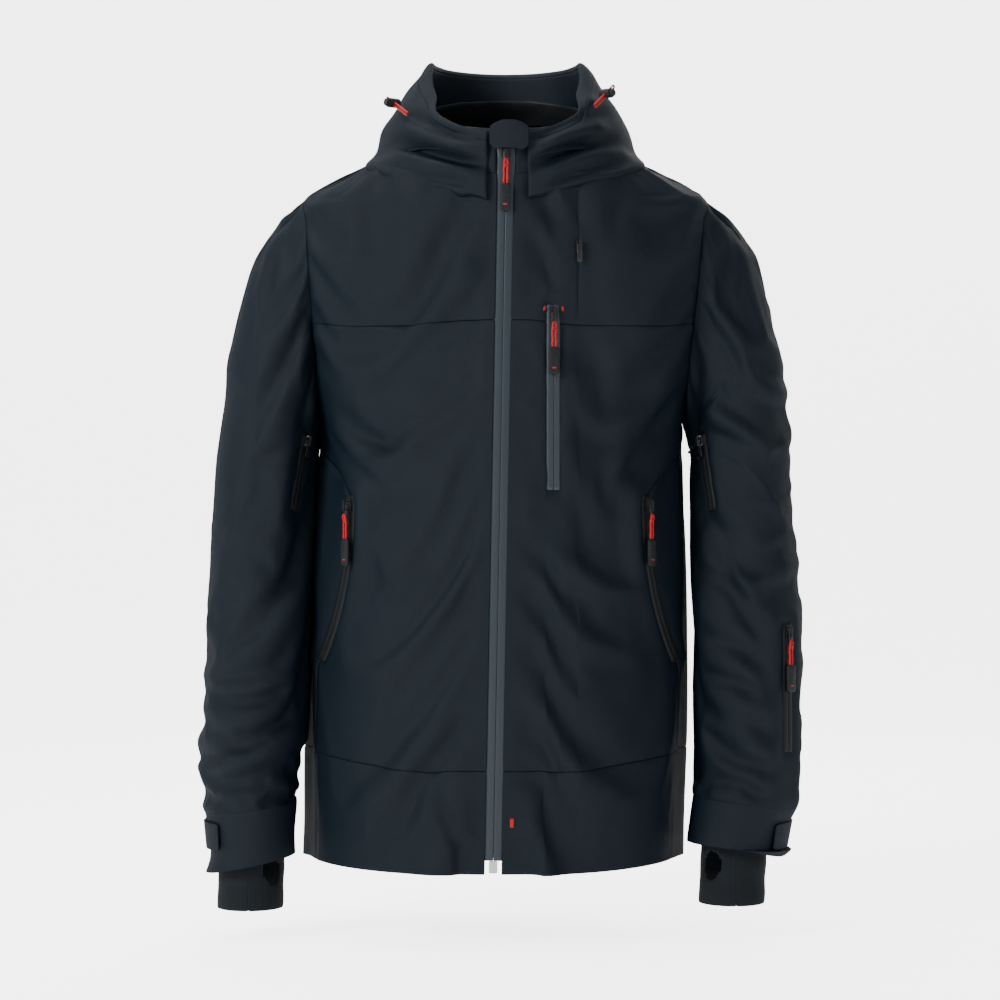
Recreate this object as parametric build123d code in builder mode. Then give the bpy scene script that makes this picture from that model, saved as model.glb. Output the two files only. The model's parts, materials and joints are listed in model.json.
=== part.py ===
"""A men's shell ski jacket in its worn shape, as separate panels, zips, pulls and trims.

Millimetres. +Z is up, +X is the wearer's left and -Y is the front. The origin is the middle of the bottom
of the whole jacket's box, level with the lower end of the longer inner cuff. The hem sits a little to the
wearer's right of the neck, as it does on somebody who stands at ease.
"Right" and "left" in names are the wearer's.
"""

import os
from math import cos, radians, sin, tan

from build123d import *

os.makedirs("parts", exist_ok=True)

# ---- driving dimensions --------------------------------------------------------------------------
FABRIC = 2.5  # face fabric with its membrane and padding
SEAM = 0.3  # gap left between neighbouring panels
LINING_DEPTH = 16.0  # from the face to the lining: room for padding, pocket bags and zip sliders
LINING = 1.5
LINING_Z = (30.0, 690.0)
LINING_OPEN_X = (-30.0, 18.0)  # the gap in the lining behind the front zip
SKIRT_DEPTH = (19.0, 20.5)  # the snow skirt's outer and inner face, from the body's face
SKIRT_Z = (120.0, 250.0)
SKIRT_OPEN_X = (-32.0, 12.0)
OPEN_Y = (-300.0, -60.0)
POCKET_DEPTH = (9.0, 12.0)  # the pocket bags' outer and inner face
CHEST_BAG = ((30.0, 150.0), (370.0, 590.0))  # x and z limits
HAND_BAG_RIGHT = ((-300.0, -60.0), (150.0, 400.0))
HAND_BAG_LEFT = ((50.0, 300.0), (150.0, 365.0))
STORM_FLAP = (34.0, 650.0, 2.0)  # width, length and thickness
STORM_FLAP_DEPTH = 10.0
STORM_FLAP_MIDDLE = 360.0  # along the front zip
HEM_SEAM_Z = 105.0
YOKE_SEAM_Z = 557.0
SIDE_SEAM_FRONT_Y = -12.0
SIDE_SEAM_BACK_Y = 48.0
# Positions below are measured from a point level with the hem, below the front edge's head. This is where
# that point lies in the part's frame.
HEM_POINT = Vector(2.0, -17.71, 47.0)
WIDE = 300.0  # further out sideways, forward and back than any panel
MIDDLE_BACK = (-WIDE, WIDE)
ABOVE_ALL = 900.0
BELOW_HEM = -1.0
ZIP_FOOT = Vector(-13, -140, 0)  # the front edge at the hem
ZIP_HEAD = Vector(0, -112.5, 716)  # the front edge at the neckline
NECKLINE_TILT = 21.0  # degrees, higher at the back
NECKLINE = Vector(0, -18.5, 741)
COLLAR_TOP = Vector(0, -23, 779)
COLLAR_TOP_TILT = 17.0

COLLAR = 2.5  # thickness
COLLAR_BASE_HALF = (104.0, 101.5)  # half width and half depth
COLLAR_TOP_HALF = (84.0, 91.0)
COLLAR_LIFT = 0.5  # the gap between the body and the collar
COLLAR_LINING_INSET = (3.1, 4.9)  # its outer and inner face, inside the collar's outer face

# Torso sections: height, half width, half depth.
TORSO = (
    (0, 194, 134),
    (150, 197, 135),
    (300, 193, 136),
    (455, 190, 138),
    (560, 228, 128),
    (640, 236, 113),
    (689, 213, 104),
    (716, 165, 99),
    (734, 124, 97),
    (745, 101, 95.5),
    (785, 95, 92),
)

# The armhole: its plane leans in at the armpit. Distances from the front edge's line, and heights.
ARMPIT = (190.0, 456.0)
SHOULDER = (209.0, 694.0)
ARMHOLE_HALF_DEPTH = 66.0
ARMHOLE_Y = 10.0

# Each arm seen from the front, below the armhole: inner edge x and z, outer edge x and z, half depth,
# centre y.
ARM_RIGHT = (
    (197.5, 450, 238, 672, 70, 9),
    (199.5, 442, 263, 636, 72, 8),
    (201, 430, 284, 572, 72, 6),
    (203, 412, 300, 480, 69, 4),
    (205, 375, 311, 395, 66, 2),
    (207, 300, 316, 310, 64, -3),
    (211, 200, 318, 205, 61, -12),
    (214, 110, 318, 105, 57, -22),
    (220, 10, 306, -10, 51, -32),
)
ARM_LEFT = (
    (190, 450, 238, 672, 70, 9),
    (194, 442, 263, 636, 72, 8),
    (197, 430, 283, 572, 72, 6),
    (199, 412, 299, 480, 69, 4),
    (200, 375, 304, 390, 66, 2),
    (196, 300, 311, 308, 64, -3),
    (199, 200, 314, 205, 61, -12),
    (201, 110, 307, 100, 57, -22),
    (188, 24, 285, -11, 51, -32),
)
ELBOW_Z = 330.0
ELBOW_FLEX = 50.0  # degrees the forearm can bend forward
SLEEVES = {"right": (-1, ARM_RIGHT), "left": (1, ARM_LEFT)}

# The stretch cuffs inside the sleeve ends: centre x, y and z at the top and at the bottom, and half sizes.
INNER_CUFFS = {
    "right": ((-263, -30, 34), (-265, -36, -47)),
    "left": ((238, -30, 40), (234, -36, -42)),
}
INNER_CUFF_HALF = (34.0, 37.0)
INNER_CUFF_FABRIC = 1.6
THUMB_HOLE = (11.0, 17.0)  # half width and half height
THUMB_HOLE_SHIFT = (-20.0, 40.0)  # its middle, forward and up from the middle of the cuff's lower end
CUFF_TAB_Z = (14.0, 44.0)
CUFF_TAB_OFFSET = (0.8, 3.0)  # its inner and outer face, outside the cuff
CUFF_TAB_Y = (-72.0, -4.0)
CUFF_TAB_X = {"right": (-400.0, -250.0), "left": (236.0, 400.0)}

# Zips. A zip's own plane has its origin on the closed edge, y up along it and z out of the jacket.
HALF_GAP = 0.5  # half the slit between the two tapes, where the slider's post runs
MAIN_TAPE = 8.0
POCKET_TAPE = 5.6
TAPE_FRONT = -0.7
TAPE_THICK = 1.5
COIL_WIDTH = 2.2
COIL_THICK = 1.7
SLIDER_POST = 0.38
PULL_AXIS_Z = 3.4
HAND_PULL_LIFT = 2.8  # the hand pulls hang further out, clear of the rounded panels their curved zips pass
MAIN_SLIDER_Z = 728.0
MAIN_ZIP = (14.0, 748.0)  # its lower and upper end along the front edge
MAIN_ZIP_BOX = (8.6, 12.0, 5.0)  # width, length and thickness
MAIN_ZIP_BOX_MIDDLE = 7.5
MAIN_ZIP_BOX_BACK = 4.4  # how far its back lies behind the front edge's line
ZIP_MARGIN = 2.0  # a straight zip's tapes run this far beyond both its ends
SLOT_MARGIN = 3.0  # and the slit in the cloth this far
HAND_ZIP_MARGIN = 3.0  # the same for the curved zips, in degrees
HAND_SLOT_MARGIN = 4.0
CHEST_ZIP = (48.0, 387.0, 570.0)  # x, lowest z, highest z
VENT_ZIP = (74.0, 572.0, 638.0)
SLEEVE_ZIP = (290.0, 118.0, 246.0)
PIT_ZIP = (-36.0, 366.0, 442.0)  # y, lowest z, highest z, on the inner front of each upper sleeve
PIT_ZIP_LEAN = 6.0  # each end lies this far forward or back of its middle
HAND_ZIP_RADIUS = 275.0
HAND_ZIP_SWEEP = 35.0  # degrees of arc
HAND_ZIP_TOP = 369.0
HAND_ZIP_X = 165.0  # where its plane touches the body, from the front edge's line
HAND_ZIP_LEAD = 20.0  # how far its top lies from there, toward the front
MAIN_SLIDER = (9.5, 17.0)
POCKET_SLIDER = (8.4, 14.0)
SMALL_SLIDER = (6.4, 11.0)
PLATE = 1.6  # thickness of a slider's two plates
FRONT_PLATE = 0.2  # where the front plate starts, from the zip's plane
BACK_PLATE = -6.2
POST = (-4.7, 5.0)  # where the post between the plates starts, and its depth
POST_LENGTH = 5.0
POST_FROM_END = 3.5
BRIDGE_WIDTH = 2.2
BRIDGE_LEG = 1.5
BRIDGE_HALF_SPAN = 4.6
BRIDGE_TOP = 2.2  # above the pull's axis
BRIDGE_THICK = 1.1

# Pulls. A metal tab's length, a cord doubled through its eye, and a grip.
CORDED_TAB = 13.0
BARE_TAB = 17.0
TAB_THICK = 1.2
TAB_HALF_WIDTH = 2.9
FORK_END = -6.4
FORK_WIDTH = 3.0
TAB_EYE = 2.1
EYE_WALL = 1.5
CROSSBAR_RADIUS = 0.75
PULL_CORD_RADIUS = 1.0
CORD_RING = (2.9, 1.9)  # half sizes of the cord's loop through the eye
CORD_KNOT = (11.0, 4.4)
CORD_STRAND_X = 1.9
CORD_STRAND = 3.4  # width and depth of one strand, which is flat where the two lie side by side
KNOT_BELOW_EYE = 6.4
GRIP_BELOW_EYE = 24.0
GRIP = (11.4, 28.0, 3.8)  # width, length and thickness

# The small flap that covers the top of the front zip: its ends along the zip, width, thickness and depth.
GUARD_LOW = 730.5
GUARD_HIGH = 759.0
GUARD_WIDTH = 40.0
GUARD_THICK = 1.8
GUARD_FRONT = 7.2
GUARD_BACK = -9.0
GUARD_X = 3.0
GUARD_STRIP = (20.0, 2.4)  # the strip over the zip's end that joins it to the collar
GUARD_STRIP_DEPTH = 17.0

# The hanging loop in the back of the neck.
LOOP_RADIUS = 9.0
LOOP_STRAP = 2.0
LOOP_WIDTH = 7.0
LOOP_TAPE = 44.0  # length of the strip it hangs from
LOOP_CENTRE = Vector(0, 63, 762)

# The hood, worn down. Level ellipses: height, half width, half depth, centre y.
HOOD = (
    (690, 122, 104, -8),
    (735, 137, 114, -2),
    (762, 130, 112, 2),
    (790, 112, 104, 8),
    (815, 97, 96, 12),
    (838, 80, 86, 14),
)
HOOD_OPENING = (
    (685, 99, 97, -16),
    (745, 92, 92, -15),
    (790, 84, 84, -10),
    (842, 72, 76, 0),
)
HOOD_BAG = (
    (580, 55, 22, 135),
    (600, 100, 36, 132),
    (650, 135, 52, 124),
    (700, 142, 62, 112),
    (750, 135, 62, 104),
    (800, 112, 50, 92),
    (832, 78, 30, 86),
)
HOOD_CLEARANCE = 1.0  # from the body and the collar
HOOD_FRONT_GAP = (-15.0, 19.0)
BRIM = Vector(0, -50, 797.5)  # a point of the brim's upper edge, which slopes down to the front
BRIM_TILT = 39.0
BRIM_WIDTH = 10.0

# Cord locks on the hood: where the cord comes out of its eyelet, and the middle of the lock.
HOOD_LOCKS = {
    "right": (Vector(-101, -67, 771), Vector(-117, -42, 786)),
    "left": (Vector(91, -75, 778), Vector(104, -62, 793)),
}
CORD_RADIUS = 1.0
CORD_SPREAD = 1.5
LOCK_RADIUS = 5.0
LOCK_BUTTON_RADIUS = 3.6
LOCK_TRAVEL = 2.8
LOCK_BODY = (-7.0, 13.0)  # where each starts, from the cord's line outward, and its length
LOCK_BORE_START = -5.6
LOCK_BORE_GAP = 0.2
LOCK_CORD_HOLE = (-1.3, 2.6)
LOCK_BUTTON = (-2.6, 11.6)
BUTTON_CORD_HOLE_START = -1.2
LOCK_HOLE_WIDTH = 5.6
CORD_BEYOND_LOCK = 12.0


# ---- shared shapes -------------------------------------------------------------------------------
def zip_point(z):
    """The point of the straight front edge at a height."""
    return ZIP_FOOT + (ZIP_HEAD - ZIP_FOOT) * (z / ZIP_HEAD.Z)


def facing(origin, normal, up=(0, 0, 1)):
    """A plane at origin that faces along normal, with y as near to up as it can be."""
    out = Vector(*normal).normalized()
    across = Vector(*up).cross(out).normalized()
    return Plane(origin=origin, x_dir=across, z_dir=out)


def oval_loft(sections):
    """A loft through ovals, each given as its plane, half width and half depth.

    Each oval is two half ellipses that meet on its width, so that neighbours don't twist.
    """
    with BuildPart() as solid:
        for plane, half_width, half_depth in sections:
            with BuildSketch(plane):
                with BuildLine():
                    EllipticalCenterArc((0, 0), half_width, half_depth, start_angle=0, arc_size=180)
                    EllipticalCenterArc((0, 0), half_width, half_depth, start_angle=180, arc_size=180)
                make_face()
        loft(ruled=True)
    return solid.part


def bent_oval_loft(sections):
    """The same where the ovals turn a corner: one length at a time, joined end to end."""
    with BuildPart() as solid:
        for pair in zip(sections, sections[1:]):
            add(oval_loft(pair))
    return solid.part


def torso_solid(inset=0.0):
    """The torso's outside, shrunk by inset all round."""
    sections = []
    for z, half_width, half_depth in TORSO:
        front = zip_point(z)
        centre = Plane((front.X, front.Y + half_depth, z))
        sections.append((centre, half_width - inset, half_depth - inset))
    return oval_loft(sections)


def shell(outer, inner):
    """What lies between two closed shapes."""
    with BuildPart() as between:
        add(outer)
        add(inner, mode=Mode.SUBTRACT)
    return between.part


def block(x_range, y_range, z_range):
    """A box given by its limits."""
    limits = (x_range, y_range, z_range)
    with BuildPart() as box:
        with Locations(tuple((low + high) / 2 for low, high in limits)):
            Box(*(high - low for low, high in limits))
    return box.part


def armhole_edge(side):
    """The armhole's lowest and highest points."""
    return tuple(Vector(zip_point(z).X + side * reach, ARMHOLE_Y, z) for reach, z in (ARMPIT, SHOULDER))


def armhole_block(side):
    """Everything outside the armhole plane and above the armpit."""
    low, high = armhole_edge(side)
    up = (high - low).normalized()
    with BuildPart() as outside:
        with BuildSketch(facing(low, up.cross(Vector(0, -side, 0)), up)):
            with Locations((0, WIDE)):
                Rectangle(2 * WIDE, 2 * WIDE)
        extrude(amount=WIDE)
    return outside.part


def arm_solid(side, outline, inset=0.0):
    """One arm's outside from armhole to cuff, shrunk by inset."""
    low, high = armhole_edge(side)
    sections = [(low, high, ARMHOLE_HALF_DEPTH)]
    for inner_x, inner_z, outer_x, outer_z, half_depth, centre_y in outline:
        inner = Vector(side * inner_x, centre_y, inner_z)
        outer = Vector(side * outer_x, centre_y, outer_z)
        sections.append((inner, outer, half_depth))
    ovals = []
    for index, (inner, outer, half_depth) in enumerate(sections):
        across = (outer - inner).normalized()
        down_the_arm = across.cross(Vector(0, -side, 0)).normalized()
        seam = SEAM if index == 0 else 0
        centre = (inner + outer) * 0.5 + down_the_arm * seam
        plane = Plane(origin=centre, x_dir=across, z_dir=down_the_arm)
        ovals.append((plane, (outer - inner).length / 2 - inset, half_depth - inset))
    return bent_oval_loft(ovals)


def stacked_ellipses(sections):
    """A loft through level ellipses given as height, half width, half depth and centre y."""
    ovals = [(Plane((0, y, z)), half_width, half_depth) for z, half_width, half_depth, y in sections]
    return oval_loft(ovals)


def collar_solid(inset=0.0):
    """The stand-up collar's outside, shrunk by inset."""
    base = Plane(NECKLINE + Vector(0, 0, COLLAR_LIFT)).rotated((NECKLINE_TILT, 0, 0))
    top = Plane(COLLAR_TOP).rotated((COLLAR_TOP_TILT, 0, 0))
    base_half = [half - inset for half in COLLAR_BASE_HALF]
    top_half = [half - inset for half in COLLAR_TOP_HALF]
    return oval_loft([(base, *base_half), (top, *top_half)])


def above(plane):
    """Everything above a plane."""
    with BuildPart() as upper:
        with BuildSketch(plane):
            Rectangle(2.5 * WIDE, 2.5 * WIDE)
        extrude(amount=WIDE)
    return upper.part


def slot(plane, width, low, high, depth=14):
    """The slit cut through the cloth for a straight zip."""
    with BuildPart() as cut:
        with BuildSketch(plane.offset(-depth)):
            with Locations((0, (low + high) / 2)):
                Rectangle(width, high - low)
        extrude(amount=2 * depth)
    return cut.part


def save(shape, name):
    """Puts a finished piece in the part's frame, labels it and writes it as its own node."""
    near = Plane(origin=(0, 0, 0), z_dir=HEM_POINT)
    far = Plane(origin=HEM_POINT * 0.5, z_dir=HEM_POINT)
    # Two mirrorings in parallel planes make one plain shift.
    solids = [solid.mirror(near).mirror(far) for solid in shape.solids()]
    placed = solids[0] if len(solids) == 1 else Compound(children=solids)
    placed.label = name
    export_step(placed, f"parts/{name}.step")


# ---- zip parts -----------------------------------------------------------------------------------
def tape_layers(width):
    """The tape and the coil behind it: where each starts, its thickness and its width."""
    return (
        (TAPE_FRONT - TAPE_THICK, TAPE_THICK, width),
        (TAPE_FRONT - TAPE_THICK - COIL_THICK, COIL_THICK, COIL_WIDTH),
    )


def straight_tapes(plane, width, low, high, halves=(-1, 1)):
    """Closed tape halves with their coils behind, running from low to high along the plane's y."""
    with BuildPart() as tapes:
        for start, thick, wide in tape_layers(width):
            with BuildSketch(plane.offset(start)):
                middle = HALF_GAP + wide / 2
                with Locations(*[(half * middle, (low + high) / 2) for half in halves]):
                    Rectangle(wide, high - low)
            extrude(amount=thick)
    return tapes.part


def hand_zip_wedge(side, margin):
    """The outline of a hand zip's sector about the arc's centre, with a margin in degrees at both ends."""
    turn = 180 if side > 0 else 0
    reach = HAND_ZIP_RADIUS * 1.3
    edges = [turn - side * margin, turn + side * (HAND_ZIP_SWEEP + margin)]
    return [(0, 0)] + [(reach * cos(radians(angle)), reach * sin(radians(angle))) for angle in edges]


def curved_tapes(plane, side, width):
    """The same for a hand pocket, whose zip is an arc about the plane's origin."""
    with BuildPart() as tapes:
        for start, thick, wide in tape_layers(width):
            with BuildSketch(plane.offset(start)):
                Circle(HAND_ZIP_RADIUS + HALF_GAP + wide)
                Circle(HAND_ZIP_RADIUS + HALF_GAP, mode=Mode.SUBTRACT)
                Circle(HAND_ZIP_RADIUS - HALF_GAP)
                Circle(HAND_ZIP_RADIUS - HALF_GAP - wide, mode=Mode.SUBTRACT)
                with BuildLine():
                    Polyline(*hand_zip_wedge(side, HAND_ZIP_MARGIN), close=True)
                make_face(mode=Mode.INTERSECT)
            extrude(amount=thick)
    return tapes.part


def curved_slot(plane, side, width, depth=14):
    """The slit in the cloth for a hand pocket's zip."""
    with BuildPart() as cut:
        with BuildSketch(plane.offset(-depth)):
            Circle(HAND_ZIP_RADIUS + width / 2)
            Circle(HAND_ZIP_RADIUS - width / 2, mode=Mode.SUBTRACT)
            with BuildLine():
                Polyline(*hand_zip_wedge(side, HAND_SLOT_MARGIN), close=True)
            make_face(mode=Mode.INTERSECT)
        extrude(amount=2 * depth)
    return cut.part


def slider(plane, width, length, lift=0.0):
    """A zip slider: two plates, the thin post between them in the slit, and a bridge for the pull."""
    bridge_foot = FRONT_PLATE + PLATE
    bridge_top = PULL_AXIS_Z + lift + BRIDGE_TOP
    post_start, post_depth = POST
    with BuildPart() as body:
        for plate_start in (FRONT_PLATE, BACK_PLATE):
            with BuildSketch(plane.offset(plate_start)):
                RectangleRounded(width, length, width * 0.3)
            extrude(amount=PLATE)
        with BuildSketch(plane.offset(post_start)):
            with Locations((0, length / 2 - POST_FROM_END)):
                Rectangle(2 * SLIDER_POST, POST_LENGTH)
        extrude(amount=post_depth)
        with BuildSketch(plane.offset(bridge_foot)):
            with Locations((0, -BRIDGE_HALF_SPAN), (0, BRIDGE_HALF_SPAN)):
                Rectangle(BRIDGE_WIDTH, BRIDGE_LEG)
        extrude(amount=bridge_top - bridge_foot)
        with BuildSketch(plane.offset(bridge_top - BRIDGE_THICK)):
            RectangleRounded(BRIDGE_WIDTH, 2 * BRIDGE_HALF_SPAN + BRIDGE_LEG, 0.8)
        extrude(amount=BRIDGE_THICK)
    return body.part


def pull_tab(plane, length):
    """The metal tab: a crossbar under the slider's bridge, a fork round it and a plate with an eye."""
    with BuildPart() as tab:
        with BuildSketch(plane.offset(PULL_AXIS_Z - TAB_THICK / 2)):
            with Locations((0, -length / 2)):
                RectangleRounded(2 * TAB_HALF_WIDTH, length, 1.2)
            with Locations((0, FORK_END / 2)):
                Rectangle(FORK_WIDTH, -FORK_END, mode=Mode.SUBTRACT)
            with Locations((0, TAB_EYE + EYE_WALL - length)):
                Circle(TAB_EYE, mode=Mode.SUBTRACT)
        extrude(amount=TAB_THICK)
        bar_end = plane.from_local_coords(Vector(-TAB_HALF_WIDTH, 0, PULL_AXIS_Z))
        with BuildSketch(Plane(origin=bar_end, z_dir=plane.x_dir)):
            Circle(CROSSBAR_RADIUS)
        extrude(amount=2 * TAB_HALF_WIDTH)
    return tab.part


def cord_pull(plane, tab_length):
    """The cord, doubled through the tab's eye and knotted, and the grip moulded onto its end."""
    eye_y = TAB_EYE + EYE_WALL - tab_length
    knot_y = eye_y - KNOT_BELOW_EYE
    grip_y = eye_y - GRIP_BELOW_EYE
    grip_width, grip_length, grip_thick = GRIP
    ring_reach, ring_depth = CORD_RING
    loop_centre = plane.from_local_coords(Vector(0, eye_y - ring_reach, PULL_AXIS_Z))
    loop = Plane(origin=loop_centre, x_dir=plane.y_dir, z_dir=plane.x_dir)
    with BuildPart() as cord:
        with BuildLine(loop) as ring:
            EllipticalCenterArc((0, 0), ring_reach, ring_depth, start_angle=0, arc_size=360)
        with BuildSketch(Plane(origin=ring.line @ 0, z_dir=ring.line % 0)):
            Circle(PULL_CORD_RADIUS)
        sweep(path=ring.line)
        with BuildSketch(plane.offset(PULL_AXIS_Z - CORD_STRAND / 2)):
            with Locations((0, knot_y)):
                RectangleRounded(*CORD_KNOT, 2.1)
            with Locations(*[(x, (knot_y + grip_y) / 2) for x in (-CORD_STRAND_X, CORD_STRAND_X)]):
                Rectangle(CORD_STRAND, knot_y - grip_y)
        extrude(amount=CORD_STRAND)
    with BuildPart() as grip:
        with BuildSketch(plane.offset(PULL_AXIS_Z - grip_thick / 2)):
            with Locations((0, grip_y - grip_length / 2 - 0.2)):
                RectangleRounded(grip_width, grip_length, 2.2)
        extrude(amount=grip_thick)
    return [cord.part, grip.part]


def save_zip_pull(plane, name, corded=True):
    """Writes a slider's pull: metal tab, cord and grip, or the tab alone on a small zip."""
    if corded:
        pieces = [pull_tab(plane, CORDED_TAB), *cord_pull(plane, CORDED_TAB)]
    else:
        pieces = [pull_tab(plane, BARE_TAB)]
    save(Compound(children=pieces), f"{name}_pull")


# ---- where the zips run --------------------------------------------------------------------------
def straight_zip_plane(solid, low_ray, high_ray):
    """A straight zip's plane, at its low end on a solid's skin, and its length.

    Each ray is a start and a direction that meets the skin where the zip ends.
    """
    ends = []
    out = Vector(0, 0, 0)
    for start, direction in (low_ray, high_ray):
        hits = solid.find_intersection_points(Axis(start, direction))
        point, normal = min(hits, key=lambda hit: (hit[0] - Vector(*start)).length)
        ends.append(point)
        out += normal if normal.dot(Vector(*direction)) < 0 else normal * -1
    low, high = ends
    along = (high - low).normalized()
    out = out.normalized()
    middle = (low + high) * 0.5
    skin = solid.find_intersection_points(Axis(middle + out * 60, out * -1))
    bulge = max((hit[0] - middle).dot(out) for hit in skin)
    return facing(low + out * max(bulge, 0), out - along * out.dot(along), along), (high - low).length


def upright_zip(solid, x, low, high):
    """A straight upright zip on the front of a solid."""
    return straight_zip_plane(solid, ((x, -400, low), (0, 1, 0)), ((x, -400, high), (0, 1, 0)))


def pit_zip(side, solid):
    """The underarm vent's zip, on the sleeve's face toward the body and the front."""
    y, low, high = PIT_ZIP
    inside = side * 150
    outward = (side, 0, 0)
    low_ray = ((inside, y - PIT_ZIP_LEAN, low), outward)
    high_ray = ((inside, y + PIT_ZIP_LEAN, high), outward)
    return straight_zip_plane(solid, low_ray, high_ray)


def hand_zip_plane(side, solid):
    """A hand pocket's plane, with its origin at the centre of the zip's arc."""
    middle_z = HAND_ZIP_TOP - HAND_ZIP_RADIUS * sin(radians(HAND_ZIP_SWEEP)) / 2
    x = zip_point(middle_z).X + side * HAND_ZIP_X
    point, normal = solid.find_intersection_points(Axis((x, -400, middle_z), (0, 1, 0)))[0]
    if normal.Y > 0:
        normal = normal * -1
    skin = facing(point, Vector(normal.X, normal.Y, 0))
    centre = Vector(point.X, point.Y, HAND_ZIP_TOP) + skin.x_dir * side * (HAND_ZIP_RADIUS - HAND_ZIP_LEAD)
    return Plane(origin=centre, x_dir=skin.x_dir, z_dir=skin.z_dir)


def shifted(plane, x, y):
    """The same plane with its origin moved within itself."""
    return Plane(origin=plane.from_local_coords(Vector(x, y, 0)), x_dir=plane.x_dir, z_dir=plane.z_dir)


torso_outer = torso_solid()
arm_outer = {name: arm_solid(side, outline) for name, (side, outline) in SLEEVES.items()}
main_up = (ZIP_HEAD - ZIP_FOOT).normalized()
main_plane = facing(ZIP_FOOT, Vector(1, 0, 0).cross(main_up), main_up)
main_slider_y = (zip_point(MAIN_SLIDER_Z) - ZIP_FOOT).length
chest_plane, chest_length = upright_zip(torso_outer, *CHEST_ZIP)
vent_plane, vent_length = upright_zip(torso_outer, *VENT_ZIP)
sleeve_plane, sleeve_length = upright_zip(arm_outer["left"], *SLEEVE_ZIP)
hand_planes = {name: hand_zip_plane(side, torso_outer) for name, (side, _) in SLEEVES.items()}
pit_zips = {name: pit_zip(side, arm_outer[name]) for name, (side, _) in SLEEVES.items()}
pocket_slot = 2 * (POCKET_TAPE + HALF_GAP + SEAM)
main_slot = 2 * (MAIN_TAPE + HALF_GAP + SEAM)

# ---- torso panels --------------------------------------------------------------------------------
neckline_plane = Plane(NECKLINE).rotated((NECKLINE_TILT, 0, 0))
with BuildPart() as torso_shell:
    add(shell(torso_outer, torso_solid(FABRIC)))
    add(above(neckline_plane), mode=Mode.SUBTRACT)
    add(slot(main_plane, main_slot, -5, 800, depth=20), mode=Mode.SUBTRACT)
    add(slot(chest_plane, pocket_slot, -SLOT_MARGIN, chest_length + SLOT_MARGIN), mode=Mode.SUBTRACT)
    add(slot(vent_plane, pocket_slot, -SLOT_MARGIN, vent_length + SLOT_MARGIN), mode=Mode.SUBTRACT)
    for each_name, (each_side, _) in SLEEVES.items():
        add(armhole_block(each_side), mode=Mode.SUBTRACT)
        add(curved_slot(hand_planes[each_name], each_side, pocket_slot), mode=Mode.SUBTRACT)

UNDER_YOKE = (HEM_SEAM_Z, YOKE_SEAM_Z)
OVER_YOKE = (YOKE_SEAM_Z, ABOVE_ALL)
HEM = (BELOW_HEM, HEM_SEAM_Z)
FRONT = (-WIDE, SIDE_SEAM_FRONT_Y)
SIDE = (SIDE_SEAM_FRONT_Y, SIDE_SEAM_BACK_Y)
PANELS = {
    "front_panel_right": ((-WIDE, -6), FRONT, UNDER_YOKE),
    "front_panel_left": ((-6, WIDE), FRONT, UNDER_YOKE),
    "front_yoke_right": ((-WIDE, 0), (-WIDE, 0), OVER_YOKE),
    "front_yoke_left": ((0, WIDE), (-WIDE, 0), OVER_YOKE),
    "hem_panel_right": ((-WIDE, -12), FRONT, HEM),
    "hem_panel_left": ((-12, WIDE), FRONT, HEM),
    "side_panel_right": ((-WIDE, -20), SIDE, (BELOW_HEM, YOKE_SEAM_Z)),
    "side_panel_left": ((-20, WIDE), SIDE, (BELOW_HEM, YOKE_SEAM_Z)),
    "back_panel": (MIDDLE_BACK, (SIDE_SEAM_BACK_Y, WIDE), (BELOW_HEM, YOKE_SEAM_Z)),
    "back_yoke": (MIDDLE_BACK, (0, WIDE), OVER_YOKE),
}
for panel_name, limits in PANELS.items():
    with BuildPart() as panel:
        add(torso_shell.part)
        add(block(*[(low + SEAM / 2, high - SEAM / 2) for low, high in limits]), mode=Mode.INTERSECT)
    save(panel.part, panel_name)

with BuildPart() as body_lining:
    add(shell(torso_solid(LINING_DEPTH), torso_solid(LINING_DEPTH + LINING)))
    add(block(MIDDLE_BACK, MIDDLE_BACK, LINING_Z), mode=Mode.INTERSECT)
    add(block(LINING_OPEN_X, OPEN_Y, (0, ABOVE_ALL)), mode=Mode.SUBTRACT)
    for each_side in (-1, 1):
        add(armhole_block(each_side), mode=Mode.SUBTRACT)
save(body_lining.part, "body_lining")

with BuildPart() as powder_skirt:
    add(shell(*[torso_solid(depth) for depth in SKIRT_DEPTH]))
    add(block(MIDDLE_BACK, MIDDLE_BACK, SKIRT_Z), mode=Mode.INTERSECT)
    add(block(SKIRT_OPEN_X, OPEN_Y, (0, ABOVE_ALL)), mode=Mode.SUBTRACT)
save(powder_skirt.part, "powder_skirt")

# Flat pocket bags, which lie between the face and the lining.
pocket_layer = shell(*[torso_solid(depth) for depth in POCKET_DEPTH])
BAGS = {
    "chest_pocket_bag": CHEST_BAG,
    "hand_pocket_bag_right": HAND_BAG_RIGHT,
    "hand_pocket_bag_left": HAND_BAG_LEFT,
}
for bag_name, (bag_x, bag_z) in BAGS.items():
    with BuildPart() as bag:
        add(pocket_layer)
        add(block(bag_x, (-WIDE, 0), bag_z), mode=Mode.INTERSECT)
    save(bag.part, bag_name)

# The wind flap behind the main zip.
flap_width, flap_length, flap_thick = STORM_FLAP
with BuildPart() as storm_flap:
    with BuildSketch(main_plane.offset(-STORM_FLAP_DEPTH)):
        with Locations((0, STORM_FLAP_MIDDLE)):
            RectangleRounded(flap_width, flap_length, 6)
    extrude(amount=flap_thick)
save(storm_flap.part, "storm_flap")

# ---- collar, chin guard and hanger loop ----------------------------------------------------------
collar_slot = slot(main_plane, main_slot, 600, ABOVE_ALL, depth=24)
for ring_name, insets in (("collar", (0, COLLAR)), ("collar_lining", COLLAR_LINING_INSET)):
    with BuildPart() as ring:
        add(shell(*[collar_solid(inset) for inset in insets]))
        add(collar_slot, mode=Mode.SUBTRACT)
    save(ring.part, ring_name)

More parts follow.
